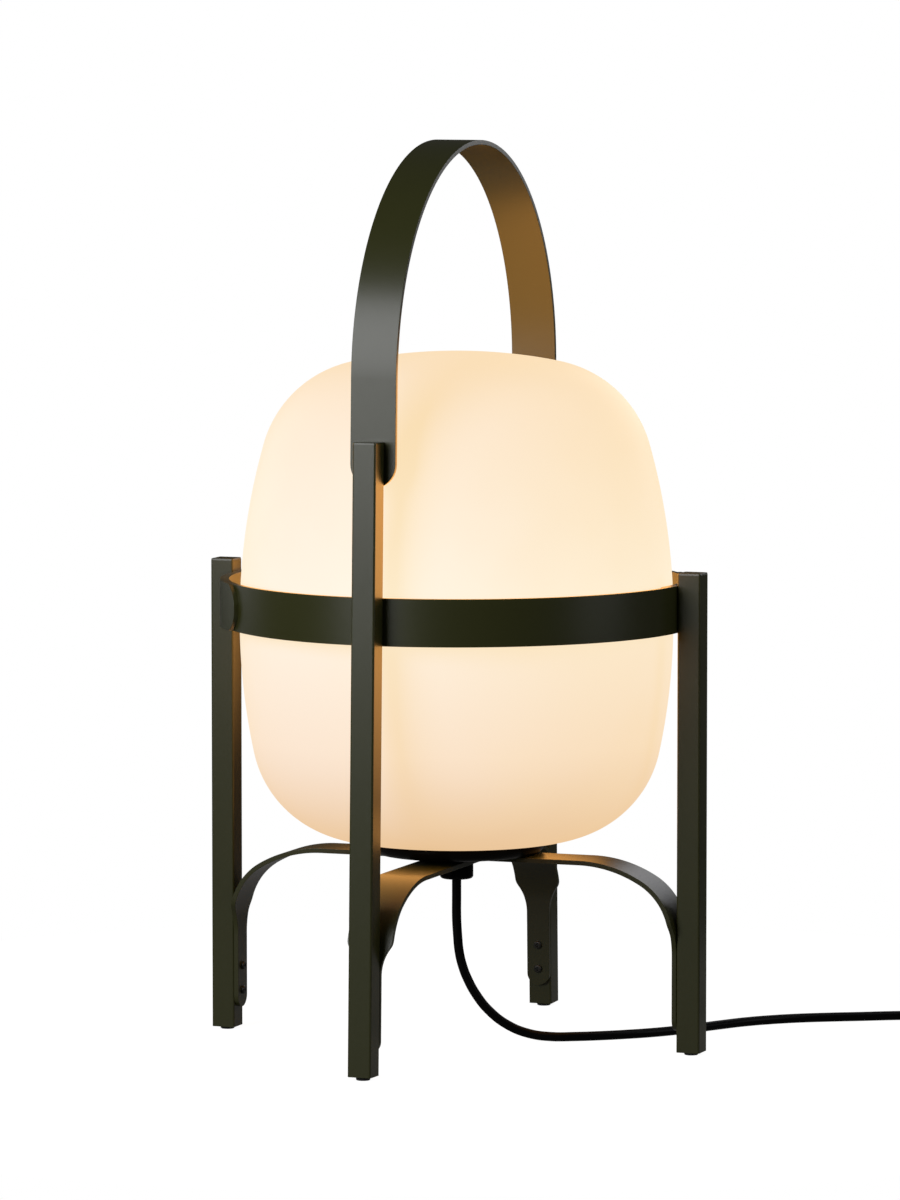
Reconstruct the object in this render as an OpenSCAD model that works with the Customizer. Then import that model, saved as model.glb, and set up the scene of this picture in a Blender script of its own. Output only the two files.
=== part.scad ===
// Lantern table lamp: four square posts, an arched carrying handle, a ring of two
// overlapping bands, two crossing base straps, and an opal glass globe on a dish.
// Millimetres. +Z is up; the origin is on the floor, at the centre of the four feet.
// The handle and the two tall posts stand in the YZ plane, with the front post at -Y.

/* [Frame] */
// Overall height, floor to the top of the handle
total_h = 580; // [570:1:600]
// Outer radius of the ring, which is also the inner face of the two short posts
ring_r = 151.6; // [150:0.1:153]
// Thickness of every steel strip
strip_t = 3; // [2.5:0.1:3.2]
// Width of every steel strip
strip_w = 30; // [28:1:32]
// Height of the middle of the ring
ring_z = 285; // [280:1:290]

/* [Posts] */
// Side of the square tube
post_w = 15.5; // [14:0.5:16]
// Wall of the square tube
post_wall = 1.5; // [1.2:0.1:2]
// Top of the two tall posts
tall_h = 397; // [390:1:400]
// Top of the two short posts
short_h = 308; // [304:1:315]
// Inward lean of the tall posts towards the handle, in degrees
lean = 1.5; // [1:0.1:2]
// Height of the glide under each post
glide_h = 2; // [1.5:0.5:3]

/* [Ring] */
// Angle by which the outer end of each band runs past its side post
ring_tip_angle = 42; // [36:1:44]
// Angle by which the inner end of each band runs past the other side post
ring_tail_angle = 12; // [11:1:14]

/* [Base straps] */
// Top face of the left to right strap, where the dish sits
strap_z = 123; // [121:0.5:125]
// Outer radius of the wide bend next to the flat
bend_wide_r = 85; // [80:1:90]
// Outer radius of the tight bend next to the leg
bend_tight_r = 42; // [38:1:46]
// Bottom of the rounded foot of each leg
strap_foot_z = 15; // [12:1:18]

/* [Globe] */
// Greatest radius of the globe
globe_r = 139; // [137:0.5:140]
// Height of the widest circle of the globe
globe_mid_z = 273.5; // [272:0.5:275]
// Top of the globe
globe_top_z = 445; // [443:0.5:447]
// Wall of the opal glass
globe_wall = 3; // [2.5:0.25:3.5]
// Outer radius of the short neck in the dish
neck_r = 46; // [44:0.5:47]

/* [Dish and light] */
// Radius of the black dish
dish_r = 57; // [56:0.5:58]
// Height of the dish
dish_h = 8; // [7.5:0.25:8]
// Radius of the gland nut under the straps
gland_r = 10.75; // [10:0.25:12]
// Bottom of the lampholder
holder_z = 142; // [138:1:146]
// Greatest radius of the bulb
bulb_r = 30; // [28:1:30]

/* [Cord] */
// Diameter of the mains cord
cord_d = 6; // [5.8:0.1:6.1]
// Mean radius of the stored coil
coil_mean_r = 34; // [33.5:0.5:34.5]
// Turns in the stored coil, in two layers
coil_turns = 5; // [5:2:5]
// Tilt of the rocker from level at either end of its travel, in degrees
rocker_tilt = 7; // [5:0.5:8]

/* [Hidden] */
$fn = 64;

// Colours
bronze = [0.22, 0.22, 0.16];
black = [0.06, 0.06, 0.06];
opal = [0.98, 0.92, 0.82];
steel = [0.72, 0.71, 0.68];
brass = [0.78, 0.63, 0.34];

// Directions of the posts about +Z: right, rear, left, front
right = 0;
rear = 90;
left = 180;
front = 270;

// Fasteners: an M3 pan head, and the clearance of its hole
screw_r = 1.5;
screw_head_r = 2.7;
screw_head_h = 1.8;
hole_r = 1.55;
screw_reach = 9;
recess_w = 0.8;
recess_l = 3;

// Screw heights on the posts, counted along the post
strap_screw_z = [26, 42];
handle_screw_z = [376, 388];
ring_screw_z = [ring_z - 7.5, ring_z + 7.5];

// The tall post's inner face meets the ring's top edge
tall_face_r = ring_r + strip_w / 2 * tan(lean);
function tall_face(z) = tall_face_r + (ring_z - z) * tan(lean);

cap_h = 1.2;
plug_gap = 0.05;
corner_r = 1.2;
eps = 0.01;

// ---------------------------------------------------------------- shared functions

// Points of an arc, from angle a0 to angle a1
function arc(c, r, a0, a1, n = 12) =
    [for (i = [0 : n]) c + r * [cos(a0 + (a1 - a0) * i / n), sin(a0 + (a1 - a0) * i / n)]];
function reverse(p) = [for (i = [len(p) - 1 : -1 : 0]) p[i]];
function mirror_x(p) = [for (q = p) [-q[0], q[1]]];
// A closed outline from its right half, given from the bottom up
function both_sides(p) = concat(p, reverse(mirror_x(p)));
function unit(v) = v / norm(v);
function smooth_step(s) = s * s * (3 - 2 * s);
// The meeting point of two circles that lies to the right of the line from a to b
function meet(a, ra, b, rb) =
    let (d = norm(b - a), along = (ra * ra - rb * rb + d * d) / (2 * d),
         side = sqrt(ra * ra - along * along), u = (b - a) / d)
    a + u * along + side * [u[1], -u[0]];
function angle_of(v) = atan2(v[1], v[0]);

// ---------------------------------------------------------------- shared modules

// Places a shape drawn with +X as the radial direction at one of the four posts
module at_post(angle) {
    rotate([0, 0, angle]) children();
}

// Leans a shape with the tall posts
module leaned() {
    translate([tall_face_r, 0, ring_z]) rotate([0, -lean, 0])
        translate([-tall_face_r, 0, -ring_z]) children();
}

// Extrudes a side view drawn in radius and height across the middle plane
module across(width) {
    rotate([90, 0, 0]) translate([0, 0, -width / 2]) linear_extrude(width) children();
}

// Extrudes a front view drawn in width and height along X
module along(length) {
    rotate([90, 0, 90]) translate([0, 0, -length / 2]) linear_extrude(length) children();
}

module rounded_square(w, r) {
    square([w - 2 * r, w], center = true);
    square([w, w - 2 * r], center = true);
    for (x = [-1, 1], y = [-1, 1]) translate([x, y] * (w / 2 - r)) circle(r);
}

// A pan-head screw along +X, with the underside of its head at the origin
crown_r = 0.9;
recess_depth = 1;

module screw(reach = screw_reach) {
    rotate([0, 90, 0]) difference() {
        union() {
            cylinder(r = screw_r, h = reach);
            rotate_extrude() polygon(concat(
                [[0, 0], [screw_head_r, 0]],
                arc([screw_head_r - crown_r, -crown_r], crown_r, 0, -90, 6),
                [[0, -screw_head_h]]));
        }
        for (a = [0, 90]) rotate([0, 0, a])
            translate([-recess_l / 2, -recess_w / 2, -screw_head_h - eps])
                cube([recess_l, recess_w, recess_depth]);
    }
}

// A hole for a screw, along +X
module screw_hole(r = hole_r, length = 2 * strip_t + 2) {
    rotate([0, 90, 0]) translate([0, 0, -length / 2]) cylinder(r = r, h = length);
}

// ---------------------------------------------------------------- posts

module tube(top, inner_r) {
    translate([inner_r + post_w / 2, 0, glide_h]) linear_extrude(top - cap_h - glide_h) difference() {
        rounded_square(post_w, corner_r);
        square(post_w - 2 * post_wall, center = true);
    }
}

module short_post(angle) {
    color(bronze) at_post(angle) difference() {
        tube(short_h, ring_r);
        for (z = concat(strap_screw_z, ring_screw_z)) translate([ring_r, 0, z]) screw_hole();
    }
}

module tall_post(angle) {
    color(bronze) at_post(angle) difference() {
        leaned() difference() {
            tube(tall_h, tall_face_r);
            for (z = concat(strap_screw_z, handle_screw_z)) translate([tall_face_r, 0, z]) screw_hole();
        }
        for (z = ring_screw_z) translate([ring_r, 0, z]) screw_hole();
    }
}

module post_front() { tall_post(front); }
module post_rear() { tall_post(rear); }
module post_left() { short_post(left); }
module post_right() { short_post(right); }

// Both ends of a post are closed by plugs that fill its bore
post_plug_w = post_w - 2 * post_wall - 2 * plug_gap;
cap_plug_h = 5;
glide_plug_z = glide_h + 0.5;
glide_plug_h = 9;
glide_pad_d = 9;
glide_pad_h = glide_h + 1.5;

// A plug with a thin square lid, which closes the top of a post
module cap(top, inner_r) {
    translate([inner_r + post_w / 2, 0, top - cap_h]) {
        linear_extrude(cap_h) rounded_square(post_w, corner_r);
        translate([0, 0, -cap_plug_h]) linear_extrude(cap_plug_h) square(post_plug_w, center = true);
    }
}

module post_caps() {
    color(bronze) {
        for (a = [front, rear]) at_post(a) leaned() cap(tall_h, tall_face_r);
        for (a = [left, right]) at_post(a) cap(short_h, ring_r);
    }
}

// A plug in the bottom of a post and the round pad under it, which stands flat on the floor
module glide_plug(inner_r) {
    translate([inner_r + post_w / 2, 0, glide_plug_z]) linear_extrude(glide_plug_h)
        square(post_plug_w, center = true);
}

module glide_pad(middle_r) {
    translate([middle_r, 0, 0]) cylinder(d = glide_pad_d, h = glide_pad_h);
}

module foot_glides() {
    color(black) {
        for (a = [front, rear]) at_post(a) {
            leaned() glide_plug(tall_face_r);
            glide_pad(tall_face(0) + post_w / 2);
        }
        for (a = [left, right]) at_post(a) {
            glide_plug(ring_r);
            glide_pad(ring_r + post_w / 2);
        }
    }
}

// ---------------------------------------------------------------- handle

// The arch is tangent to the inner faces of both leaning posts
handle_r = (tall_face_r * cos(lean) + (ring_z - total_h) * sin(lean)) / (1 - sin(lean));
handle_c = [0, total_h - handle_r];
handle_end_z = 368;
spare = 5;  // how far a shape runs past the outline that trims it

module handle_profile() {
    foot = handle_end_z - spare;
    outer = concat([[tall_face(foot), foot]], arc(handle_c, handle_r, lean, 180 - lean, 72),
                   [[-tall_face(foot), foot]]);
    in_r = handle_r - strip_t;
    shift = strip_t / cos(lean);
    inner = concat([[tall_face(foot) - shift, foot]], arc(handle_c, in_r, lean, 180 - lean, 72),
                   [[shift - tall_face(foot), foot]]);
    polygon(concat(outer, reverse(inner)));
}

module handle() {
    r = strip_w / 2;
    end_z = handle_end_z + r;
    color(bronze) rotate([0, 0, 90]) difference() {
        intersection() {
            across(strip_w + 2) handle_profile();
            along(2 * (ring_r + 4 * spare)) {
                translate([-r, end_z]) square([strip_w, total_h - end_z + 1]);
                translate([0, end_z]) circle(r);
            }
        }
        for (a = [0, 180], z = handle_screw_z)
            rotate([0, 0, a]) leaned() translate([tall_face_r, 0, z]) screw_hole();
    }
}

module handle_screws() {
    color(black) for (a = [front, rear], z = handle_screw_z)
        at_post(a) leaned() translate([tall_face_r - strip_t, 0, z]) screw();
}

// ---------------------------------------------------------------- ring

// A band lies inside the other one at the left post, swells out by its own thickness on
// its way to the front post, and lies outside the other one at the right post.
ring_step = 2;
band_start = left - ring_tail_angle;
band_end = 360 + ring_tip_angle;
swell_from = left + ring_tip_angle + 2;
swell_to = front - 6;
end_angle = asin(strip_w / 2 / ring_r);

function swell(a) = smooth_step(max(0, min(1, (a - swell_from) / (swell_to - swell_from))));
function band_r(a) = ring_r - strip_t * (1 - swell(a));

module band_outline() {
    angles = [for (a = [band_start : ring_step : band_end]) a];
    outer = [for (a = angles) band_r(a) * [cos(a), sin(a)]];
    inner = [for (a = angles) (band_r(a) - strip_t) * [cos(a), sin(a)]];
    polygon(concat(outer, reverse(inner)));
}

// What is cut away to leave a full-round end; side is 1 at the outer end, -1 at the inner
module end_cut(angle, side) {
    r = strip_w / 2;
    deep = 4 * spare;
    rotate([0, 0, angle - side * end_angle]) translate([ring_r - deep / 2, 0, ring_z]) difference() {
        translate([0, side > 0 ? 0 : -2 * r, -r - 1]) cube([deep, 2 * r, strip_w + 2]);
        rotate([0, 90, 0]) translate([0, 0, -1]) cylinder(r = r, h = deep + 2);
    }
}

module band() {
    color(bronze) difference() {
        translate([0, 0, ring_z - strip_w / 2]) linear_extrude(strip_w) band_outline();
        end_cut(band_end, 1);
        end_cut(band_start, -1);
        for (a = [left, front, 360], z = ring_screw_z)
            rotate([0, 0, a]) translate([ring_r, 0, z]) screw_hole(length = 5 * strip_t);
    }
}

module ring_front_band() { band(); }
module ring_rear_band() { rotate([0, 0, 180]) band(); }

ring_screw_bite = 4;

module ring_screws() {
    side_r = ring_r - 2 * strip_t - plug_gap;
    main_r = ring_r - strip_t - plug_gap;
    color(black) {
        for (a = [left, right], z = ring_screw_z) at_post(a) translate([side_r, 0, z])
            screw(2 * strip_t + ring_screw_bite);
        for (a = [front, rear], z = ring_screw_z) at_post(a) translate([main_r, 0, z])
            screw(strip_t + ring_screw_bite);
    }
}

// ---------------------------------------------------------------- base straps

// Half of a strap's side view: a flat, a wide bend, a tight bend and a leg that lies
// along the post. off is 0 for the outer face and the strip's thickness for the inner.
wide_turn = 30;

function strap_half(top, tilt, face, off) =
    let (turn = 90 - tilt, step = bend_wide_r - bend_tight_r,
         tight_z = top - bend_wide_r + step * cos(wide_turn),
         end_z = tight_z + bend_tight_r * cos(turn),
         end_r = face + (ring_z - end_z) * tan(tilt),
         tight_x = end_r - bend_tight_r * sin(turn),
         wide = [tight_x - step * sin(wide_turn), top - bend_wide_r],
         tight = [tight_x, tight_z],
         foot_z = strap_foot_z - spare)
    concat([[0, top - off]],
           arc(wide, bend_wide_r - off, 90, 90 - wide_turn, 16),
           arc(tight, bend_tight_r - off, 90 - wide_turn, 90 - turn, 16),
           [[face + (ring_z - foot_z) * tan(tilt) - off / cos(tilt), foot_z]]);

module strap_profile(top, tilt, face) {
    outer = strap_half(top, tilt, face, 0);
    inner = strap_half(top, tilt, face, strip_t);
    polygon(concat(outer, reverse(inner), mirror_x(inner), reverse(mirror_x(outer))));
}

// Front view of a leg: full width down to the shoulder, then as narrow as the post
shoulder_z = 86;
shoulder_out_r = 8;
shoulder_in_r = 30;
shoulder_turn = acos(1 - (strip_w - post_w) / 2 / (shoulder_out_r + shoulder_in_r));
neck_z = shoulder_z - (shoulder_out_r + shoulder_in_r) * sin(shoulder_turn);

module strap_outline(top) {
    half = post_w / 2;
    right_half = concat(
        arc([0, strap_foot_z + half], half, -90, 0, 12),
        arc([half + shoulder_in_r, neck_z], shoulder_in_r, 180, 180 - shoulder_turn, 12),
        arc([strip_w / 2 - shoulder_out_r, shoulder_z], shoulder_out_r, -shoulder_turn, 0, 6),
        [[strip_w / 2, top + 1]]);
    polygon(both_sides(right_half));
}

nipple_r = 5;
nipple_fit = 0.05;

module strap(top, tilt, face) {
    difference() {
        intersection() {
            across(strip_w + 2) strap_profile(top, tilt, face);
            along(2 * (face + 4 * spare)) strap_outline(top);
        }
        translate([0, 0, top - strip_t - 1]) cylinder(r = nipple_r + nipple_fit, h = strip_t + 2);
    }
}

module strap_short() {
    color(bronze) difference() {
        strap(strap_z, 0, ring_r);
        for (a = [left, right], z = strap_screw_z) at_post(a) translate([ring_r, 0, z]) screw_hole();
    }
}

module strap_tall() {
    color(bronze) difference() {
        rotate([0, 0, 90]) strap(strap_z - strip_t, lean, tall_face_r);
        for (a = [front, rear], z = strap_screw_z)
            at_post(a) leaned() translate([tall_face_r, 0, z]) screw_hole();
    }
}

module strap_screws() {
    color(black) {
        for (a = [left, right], z = strap_screw_z) at_post(a) translate([ring_r - strip_t, 0, z]) screw();
        for (a = [front, rear], z = strap_screw_z)
            at_post(a) leaned() translate([tall_face_r - strip_t, 0, z]) screw();
    }
}

// ---------------------------------------------------------------- dish

dish_edge_r = 7;
dish_wall = 2.5;
dish_rim = 0.5;
dish_floor_z = strap_z + dish_wall;
gasket_h = 1.5;
gasket_out = 1.5;  // how far the gasket shows outside the glass
gasket_in = 1;     // and inside it

module base_dish() {
    edge = [dish_r - dish_edge_r, strap_z + dish_edge_r];
    color(black) rotate_extrude($fn = 120) polygon(concat(
        [[nipple_r + nipple_fit, strap_z]],
        arc(edge, dish_edge_r, -90, 0, 10),
        [[dish_r, strap_z + dish_h - dish_rim], [dish_r - dish_rim, strap_z + dish_h],
         [dish_r - dish_wall, strap_z + dish_h]],
        arc(edge, dish_edge_r - dish_wall, 0, -90, 8),
        [[nipple_r + nipple_fit, dish_floor_z]]));
}

module glass_gasket() {
    color(black) translate([0, 0, dish_floor_z]) difference() {
        cylinder(r = neck_r + gasket_out, h = gasket_h);
        translate([0, 0, -1]) cylinder(r = neck_r - globe_wall - gasket_in, h = gasket_h + 2);
    }
}

// ---------------------------------------------------------------- globe

// The outer profile is a chain of tangent arcs: flat bottom cap, bottom shoulder, side,
// top shoulder and top cap. Every arc keeps its centre for the inner face.
side_r = 413;
top_shoulder_r = 73.5;
top_cap_r = 336;
low_shoulder_r = 70.7;
low_cap_r = 1040;
globe_low_z = 130;
side_c = [globe_r - side_r, globe_mid_z];
top_c = [0, globe_top_z - top_cap_r];
low_c = [0, globe_low_z + low_cap_r];
top_shoulder_c = meet(top_c, top_cap_r - top_shoulder_r, side_c, side_r - top_shoulder_r);
low_shoulder_c = meet(side_c, side_r - low_shoulder_r, low_c, low_cap_r - low_shoulder_r);
neck_bottom_z = dish_floor_z + gasket_h;

function globe_face(off, from_r) =
    let (low_a = angle_of(low_shoulder_c - low_c),
         side_a = angle_of(low_shoulder_c - side_c),
         side_b = angle_of(top_shoulder_c - side_c),
         top_a = angle_of(top_shoulder_c - top_c),
         start_a = -acos(from_r / (low_cap_r - off)))
    concat(arc(low_c, low_cap_r - off, start_a, low_a, 4),
           arc(low_shoulder_c, low_shoulder_r - off, low_a, side_a, 20),
           arc(side_c, side_r - off, side_a, side_b, 28),
           arc(top_shoulder_c, top_shoulder_r - off, side_b, top_a, 20),
           arc(top_c, top_cap_r - off, top_a, 90, 14));

module globe() {
    outer = concat([[neck_r, neck_bottom_z]], globe_face(0, neck_r));
    inner = concat([[neck_r - globe_wall, neck_bottom_z]],
                   globe_face(globe_wall, neck_r - globe_wall));
    color(opal) rotate_extrude($fn = 120) polygon(concat(outer, reverse(inner)));
}

// ---------------------------------------------------------------- light fitting

gland_z = 106;
strap_low_z = strap_z - 2 * strip_t;
nipple_low_z = 110;
nipple_top_z = holder_z + 8;
nipple_bore_r = 3.6;
nut_r = 8;
nut_h = 4;
bush_gap = 0.2;

module threaded_nipple() {
    color(brass) translate([0, 0, nipple_low_z]) difference() {
        cylinder(r = nipple_r, h = nipple_top_z - nipple_low_z);
        translate([0, 0, -1]) cylinder(r = nipple_bore_r, h = nipple_top_z - nipple_low_z + 2);
    }
}

module dish_lock_nut() {
    color(brass) translate([0, 0, dish_floor_z]) difference() {
        cylinder(r = nut_r, h = nut_h, $fn = 6);
        translate([0, 0, -1]) cylinder(r = nipple_r + nipple_fit, h = nut_h + 2);
    }
}

module gland_nut() {
    edge = 2;
    color(black) rotate_extrude() polygon(concat(
        [[nipple_r + nipple_fit, gland_z]],
        arc([gland_r - edge, gland_z + edge], edge, -90, 0, 8),
        [[gland_r, strap_low_z], [nipple_r + nipple_fit, strap_low_z]]));
}

// The rubber bush that closes the gland nut around the cord
module cord_grommet() {
    color(black) translate([0, 0, gland_z]) cylinder(r = nipple_r, h = nipple_low_z - gland_z - bush_gap);
}

holder_r = 20;
holder_wall = 2;
holder_split_z = holder_z + 22;
sleeve_h = 30;
sleeve_bore_r = 14.5;
sleeve_taper_z = 26;
seat_h = 6;

module lampholder_base() {
    dome = 10;
    color(black) rotate_extrude() polygon(concat(
        [[nipple_r + nipple_fit, holder_z]],
        arc([holder_r - dome, holder_z + dome], dome, -90, 0, 8),
        [[holder_r, holder_split_z], [0, holder_split_z], [0, holder_split_z - holder_wall],
         [nipple_r + 1, holder_split_z - holder_wall], [nipple_r + 1, nipple_top_z + 1],
         [nipple_r + nipple_fit, nipple_top_z]]));
}

module lampholder_sleeve() {
    color(black) translate([0, 0, holder_split_z]) rotate_extrude() polygon([
        [sleeve_bore_r, 0], [holder_r, 0], [holder_r, sleeve_taper_z],
        [holder_r - 1.5, sleeve_h], [sleeve_bore_r, sleeve_h]]);
}

// A ring for the bulb's shell and a post for its tip
module lampholder_contacts() {
    contact_t = 2;
    color(brass) translate([0, 0, holder_split_z]) {
        difference() {
            cylinder(r = sleeve_bore_r - 0.2, h = contact_t);
            translate([0, 0, -1]) cylinder(r = 4, h = contact_t + 2);
        }
        cylinder(r = 2.5, h = seat_h - 1);
    }
}

// Bulb with a screw cap: a round head on a tapering neck
bulb_base_z = holder_split_z + seat_h;
bulb_neck_z = bulb_base_z + 25;
bulb_centre_z = bulb_neck_z + 50;
bulb_cap_r = 13.2;
bulb_cap_t = 0.8;
bulb_tip_h = 2;

module bulb_contact() {
    color(steel) translate([0, 0, bulb_base_z - 1]) cylinder(r1 = 3, r2 = 5, h = 3);
}

module bulb_cap() {
    color(steel) translate([0, 0, bulb_base_z + bulb_tip_h]) difference() {
        cylinder(r = bulb_cap_r, h = bulb_neck_z - bulb_base_z - bulb_tip_h);
        translate([0, 0, 2]) cylinder(r = bulb_cap_r - bulb_cap_t, h = bulb_neck_z - bulb_base_z);
    }
}

module bulb_glass() {
    wall = 1;
    head_c = [0, bulb_centre_z];
    touch_a = -33;
    color([1, 0.97, 0.9]) rotate_extrude() polygon(concat(
        [[bulb_cap_r, bulb_neck_z]],
        arc(head_c, bulb_r, touch_a, 90, 24),
        arc(head_c, bulb_r - wall, 90, touch_a, 24),
        [[bulb_cap_r - wall, bulb_neck_z]]));
}

// ---------------------------------------------------------------- cord

// Routes of the cord's middle line, chosen by hand: out of the gland and down, away to
// the right behind the right post, into the switch, on to the coil, and to the plug.
lead_route = [
    [0, 0, 106], [0, 0, 94], [0, 0, 81], [0.6, 0.2, 69], [1.6, 0.6, 58], [3.6, 1.3, 49],
    [6.4, 2.4, 41], [12, 4.5, 30], [20, 7.4, 19.5], [31, 11.5, 10.5], [44, 16, 5],
    [58, 20.5, 3.1], [72, 27, 3], [86, 36, 3], [99, 46.5, 3], [112, 59, 3], [124, 74, 3],
    [134, 90, 3], [144, 107, 3], [154, 123, 3], [167, 138, 3], [182, 151, 3], [200, 162.5, 3],
    [219, 173, 3], [238, 184, 3], [251, 190, 3], [265, 193, 3.4], [280, 192, 5],
    [294.5, 187.4, 6.8], [300.8, 184.5, 7]];
link_route = [
    [393.2, 141.5, 7], [398.7, 139, 7], [406.5, 132.5, 6.2], [412, 123, 5], [414.9, 112, 4.1],
    [415.4, 106, 3.9], [415.4, 100, 3.9]];
tail_route = [
    [415.4, 88, 10.4], [415.4, 82, 10.4], [415, 70, 9.6], [413.5, 58, 8.2], [411, 46, 7.2],
    [408.4, 35.6, 7], [407, 30, 7]];
lead_side = unit([-0.37, 0.93, 0]);
link_side = unit([0.42, 0.91, 0]);
tail_side = [1, 0, 0];
tube_sides = 8;

function heading(p, i) = unit(p[min(i + 1, len(p) - 1)] - p[max(i - 1, 0)]);
function square_to(n, t) = unit(n - (n * t) * t);
// One ring of points about each point of a route; the side direction is carried along it
function rings(p, r, n, side) =
    let (last = len(p) - 1)
    [for (i = 0, s = square_to(side, heading(p, 0)); i <= last;
          i = i + 1, s = square_to(s, heading(p, min(i, last))))
        let (up = cross(heading(p, i), s))
        for (k = [0 : n - 1]) p[i] + r * (sin(360 * k / n) * s + cos(360 * k / n) * up)];
function skin(count, n) = concat(
    [[for (k = [0 : n - 1]) k]],
    [for (i = [0 : count - 2], k = [0 : n - 1])
        let (a = i * n + k, b = i * n + (k + 1) % n)
        each [[a, a + n, b + n], [a, b + n, b]]],
    [[for (k = [n - 1 : -1 : 0]) (count - 1) * n + k]]);

module sweep(route, r, n, side) {
    polyhedron(rings(route, r, n, side), skin(len(route), n));
}

// The coil spirals in on the floor and out again on top of itself, clockwise from above.
// It climbs in the half turn where the spiral turns back.
coil_at = [373, 94];
coil_pitch = 6.7;
coil_layer = 6.5;
coil_low_z = 3.9;
coil_rings = 24;
coil_sides = 6;
coil_in_r = coil_mean_r - coil_turns / 4 * coil_pitch;
coil_out_r = coil_in_r + coil_turns / 2 * coil_pitch;
half_climb = 0.25;

function coil_r(t) =
    let (u = abs(t - coil_turns / 2))
    coil_in_r + coil_pitch * (u < half_climb ? u * u / half_climb / 2 + half_climb / 2 : u);
function coil_z(t) =
    coil_low_z + coil_layer * smooth_step(max(0, min(1,
        (t - coil_turns / 2 + half_climb) / half_climb / 2)));
function coil_point(t) =
    [coil_at[0] + coil_r(t) * cos(360 * t), coil_at[1] - coil_r(t) * sin(360 * t), coil_z(t)];
coil_route = concat(
    [[coil_at[0] + coil_out_r, coil_at[1] + cord_d, coil_low_z]],
    [for (i = [0 : coil_turns * coil_rings]) coil_point(i / coil_rings)],
    [[coil_at[0] + coil_out_r, coil_at[1] - cord_d, coil_low_z + coil_layer]]);

// Least gap between parts of the coil that are at least a third of a turn apart
coil_gap = min([for (i = [0 : len(coil_route) - 1], j = [i + 8 : 1 : len(coil_route) - 1])
    norm(coil_route[i] - coil_route[j])]) - cord_d;
echo(coil_gap = coil_gap);
function route_length(p) = len(p) < 2 ? 0 : [for (i = 0, s = 0; i < len(p); i = i + 1,
    s = s + (i < len(p) ? norm(p[i] - p[i - 1]) : 0)) s][len(p) - 1];
echo(cord = [for (p = [lead_route, link_route, coil_route, tail_route]) route_length(p)]);

module cord_lead() { color(black) sweep(lead_route, cord_d / 2, tube_sides, lead_side); }
module cord_link() { color(black) sweep(link_route, cord_d / 2, tube_sides, link_side); }
module cord_coil() { color(black) sweep(coil_route, cord_d / 2, coil_sides, [1, 0, 0]); }
module cord_tail() { color(black) sweep(tail_route, cord_d / 2, tube_sides, tail_side); }

// A hook-and-loop strap about the bundle of turns
tie_angle = 150;
tie_w = 12;
tie_t = 0.8;

module coil_tie() {
    low = coil_in_r - cord_d / 2 - 1;
    high = coil_out_r + cord_d / 2 + 0.6;
    top = coil_low_z + coil_layer + cord_d / 2 + 0.3;
    color(black) translate([coil_at[0], coil_at[1], 0]) rotate([0, 0, tie_angle])
        across(tie_w) difference() {
            translate([low - tie_t, 0]) square([high - low + 2 * tie_t, top + tie_t]);
            translate([low, tie_t]) square([high - low, top - tie_t]);
        }
}

// ---------------------------------------------------------------- cord switch

switch_at = [347, 163, 0];
switch_angle = -25;
switch_l = 62;
switch_w = 24;
switch_h = 16;
switch_split = 7;
window_l = 20.6;
window_w = 11.6;
window_floor_z = 10;
pivot_z = 11;
pivot_r = 1.5;
pivot_l = 20;
relief_l = 20;
relief_r = 4.6;
relief_tip_r = 3.6;
relief_root = 19.5;
switch_screw_at = [22.5, 7.8];

module at_switch() {
    translate(switch_at) rotate([0, 0, switch_angle]) children();
}

// A rectangle with round corners, centred on x, standing on y = 0 or centred
function soft_box(l, h, low_r, top_r) = concat(
    arc([l / 2 - low_r, low_r], low_r, -90, 0, 6), arc([l / 2 - top_r, h - top_r], top_r, 0, 90, 10),
    arc([top_r - l / 2, h - top_r], top_r, 90, 180, 10), arc([low_r - l / 2, low_r], low_r, 180, 270, 6));

module switch_form() {
    intersection() {
        translate([0, -switch_w / 2, 0]) linear_extrude(switch_h) polygon(soft_box(switch_l, switch_w, 9, 9));
        across(switch_w + 2) polygon(soft_box(switch_l, switch_h, 1.5, 6));
        along(switch_l + 2) polygon(soft_box(switch_w, switch_h, 1.5, 4));
    }
}

module switch_hollow() {
    translate([-19, -9, 2]) cube([38, 18, 11.5]);
    for (a = [0, 180]) rotate([0, 0, a]) translate([15, 0, switch_split]) rotate([0, 90, 0])
        cylinder(r = relief_r + plug_gap, h = switch_l / 2);
    for (x = [-1, 1]) translate([x * switch_screw_at[0], x * switch_screw_at[1], 1])
        cylinder(r = hole_r, h = 11);
}

module switch_base() {
    color(black) at_switch() difference() {
        intersection() {
            switch_form();
            translate([-switch_l, -switch_w, 0]) cube([2 * switch_l, 2 * switch_w, switch_split]);
        }
        switch_hollow();
        for (x = [-1, 1]) translate([x * switch_screw_at[0], x * switch_screw_at[1], -1])
            cylinder(r = screw_head_r + 0.1, h = 3);
    }
}

module switch_cover() {
    color(black) at_switch() difference() {
        intersection() {
            switch_form();
            translate([-switch_l, -switch_w, switch_split]) cube([2 * switch_l, 2 * switch_w, switch_h]);
        }
        switch_hollow();
        translate([-window_l / 2, -window_w / 2, window_floor_z]) cube([window_l, window_w, switch_h]);
        translate([0, 0, pivot_z]) rotate([90, 0, 0]) translate([0, 0, -pivot_l / 2 - 0.5])
            cylinder(r = pivot_r + plug_gap, h = pivot_l + 1);
    }
}

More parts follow.
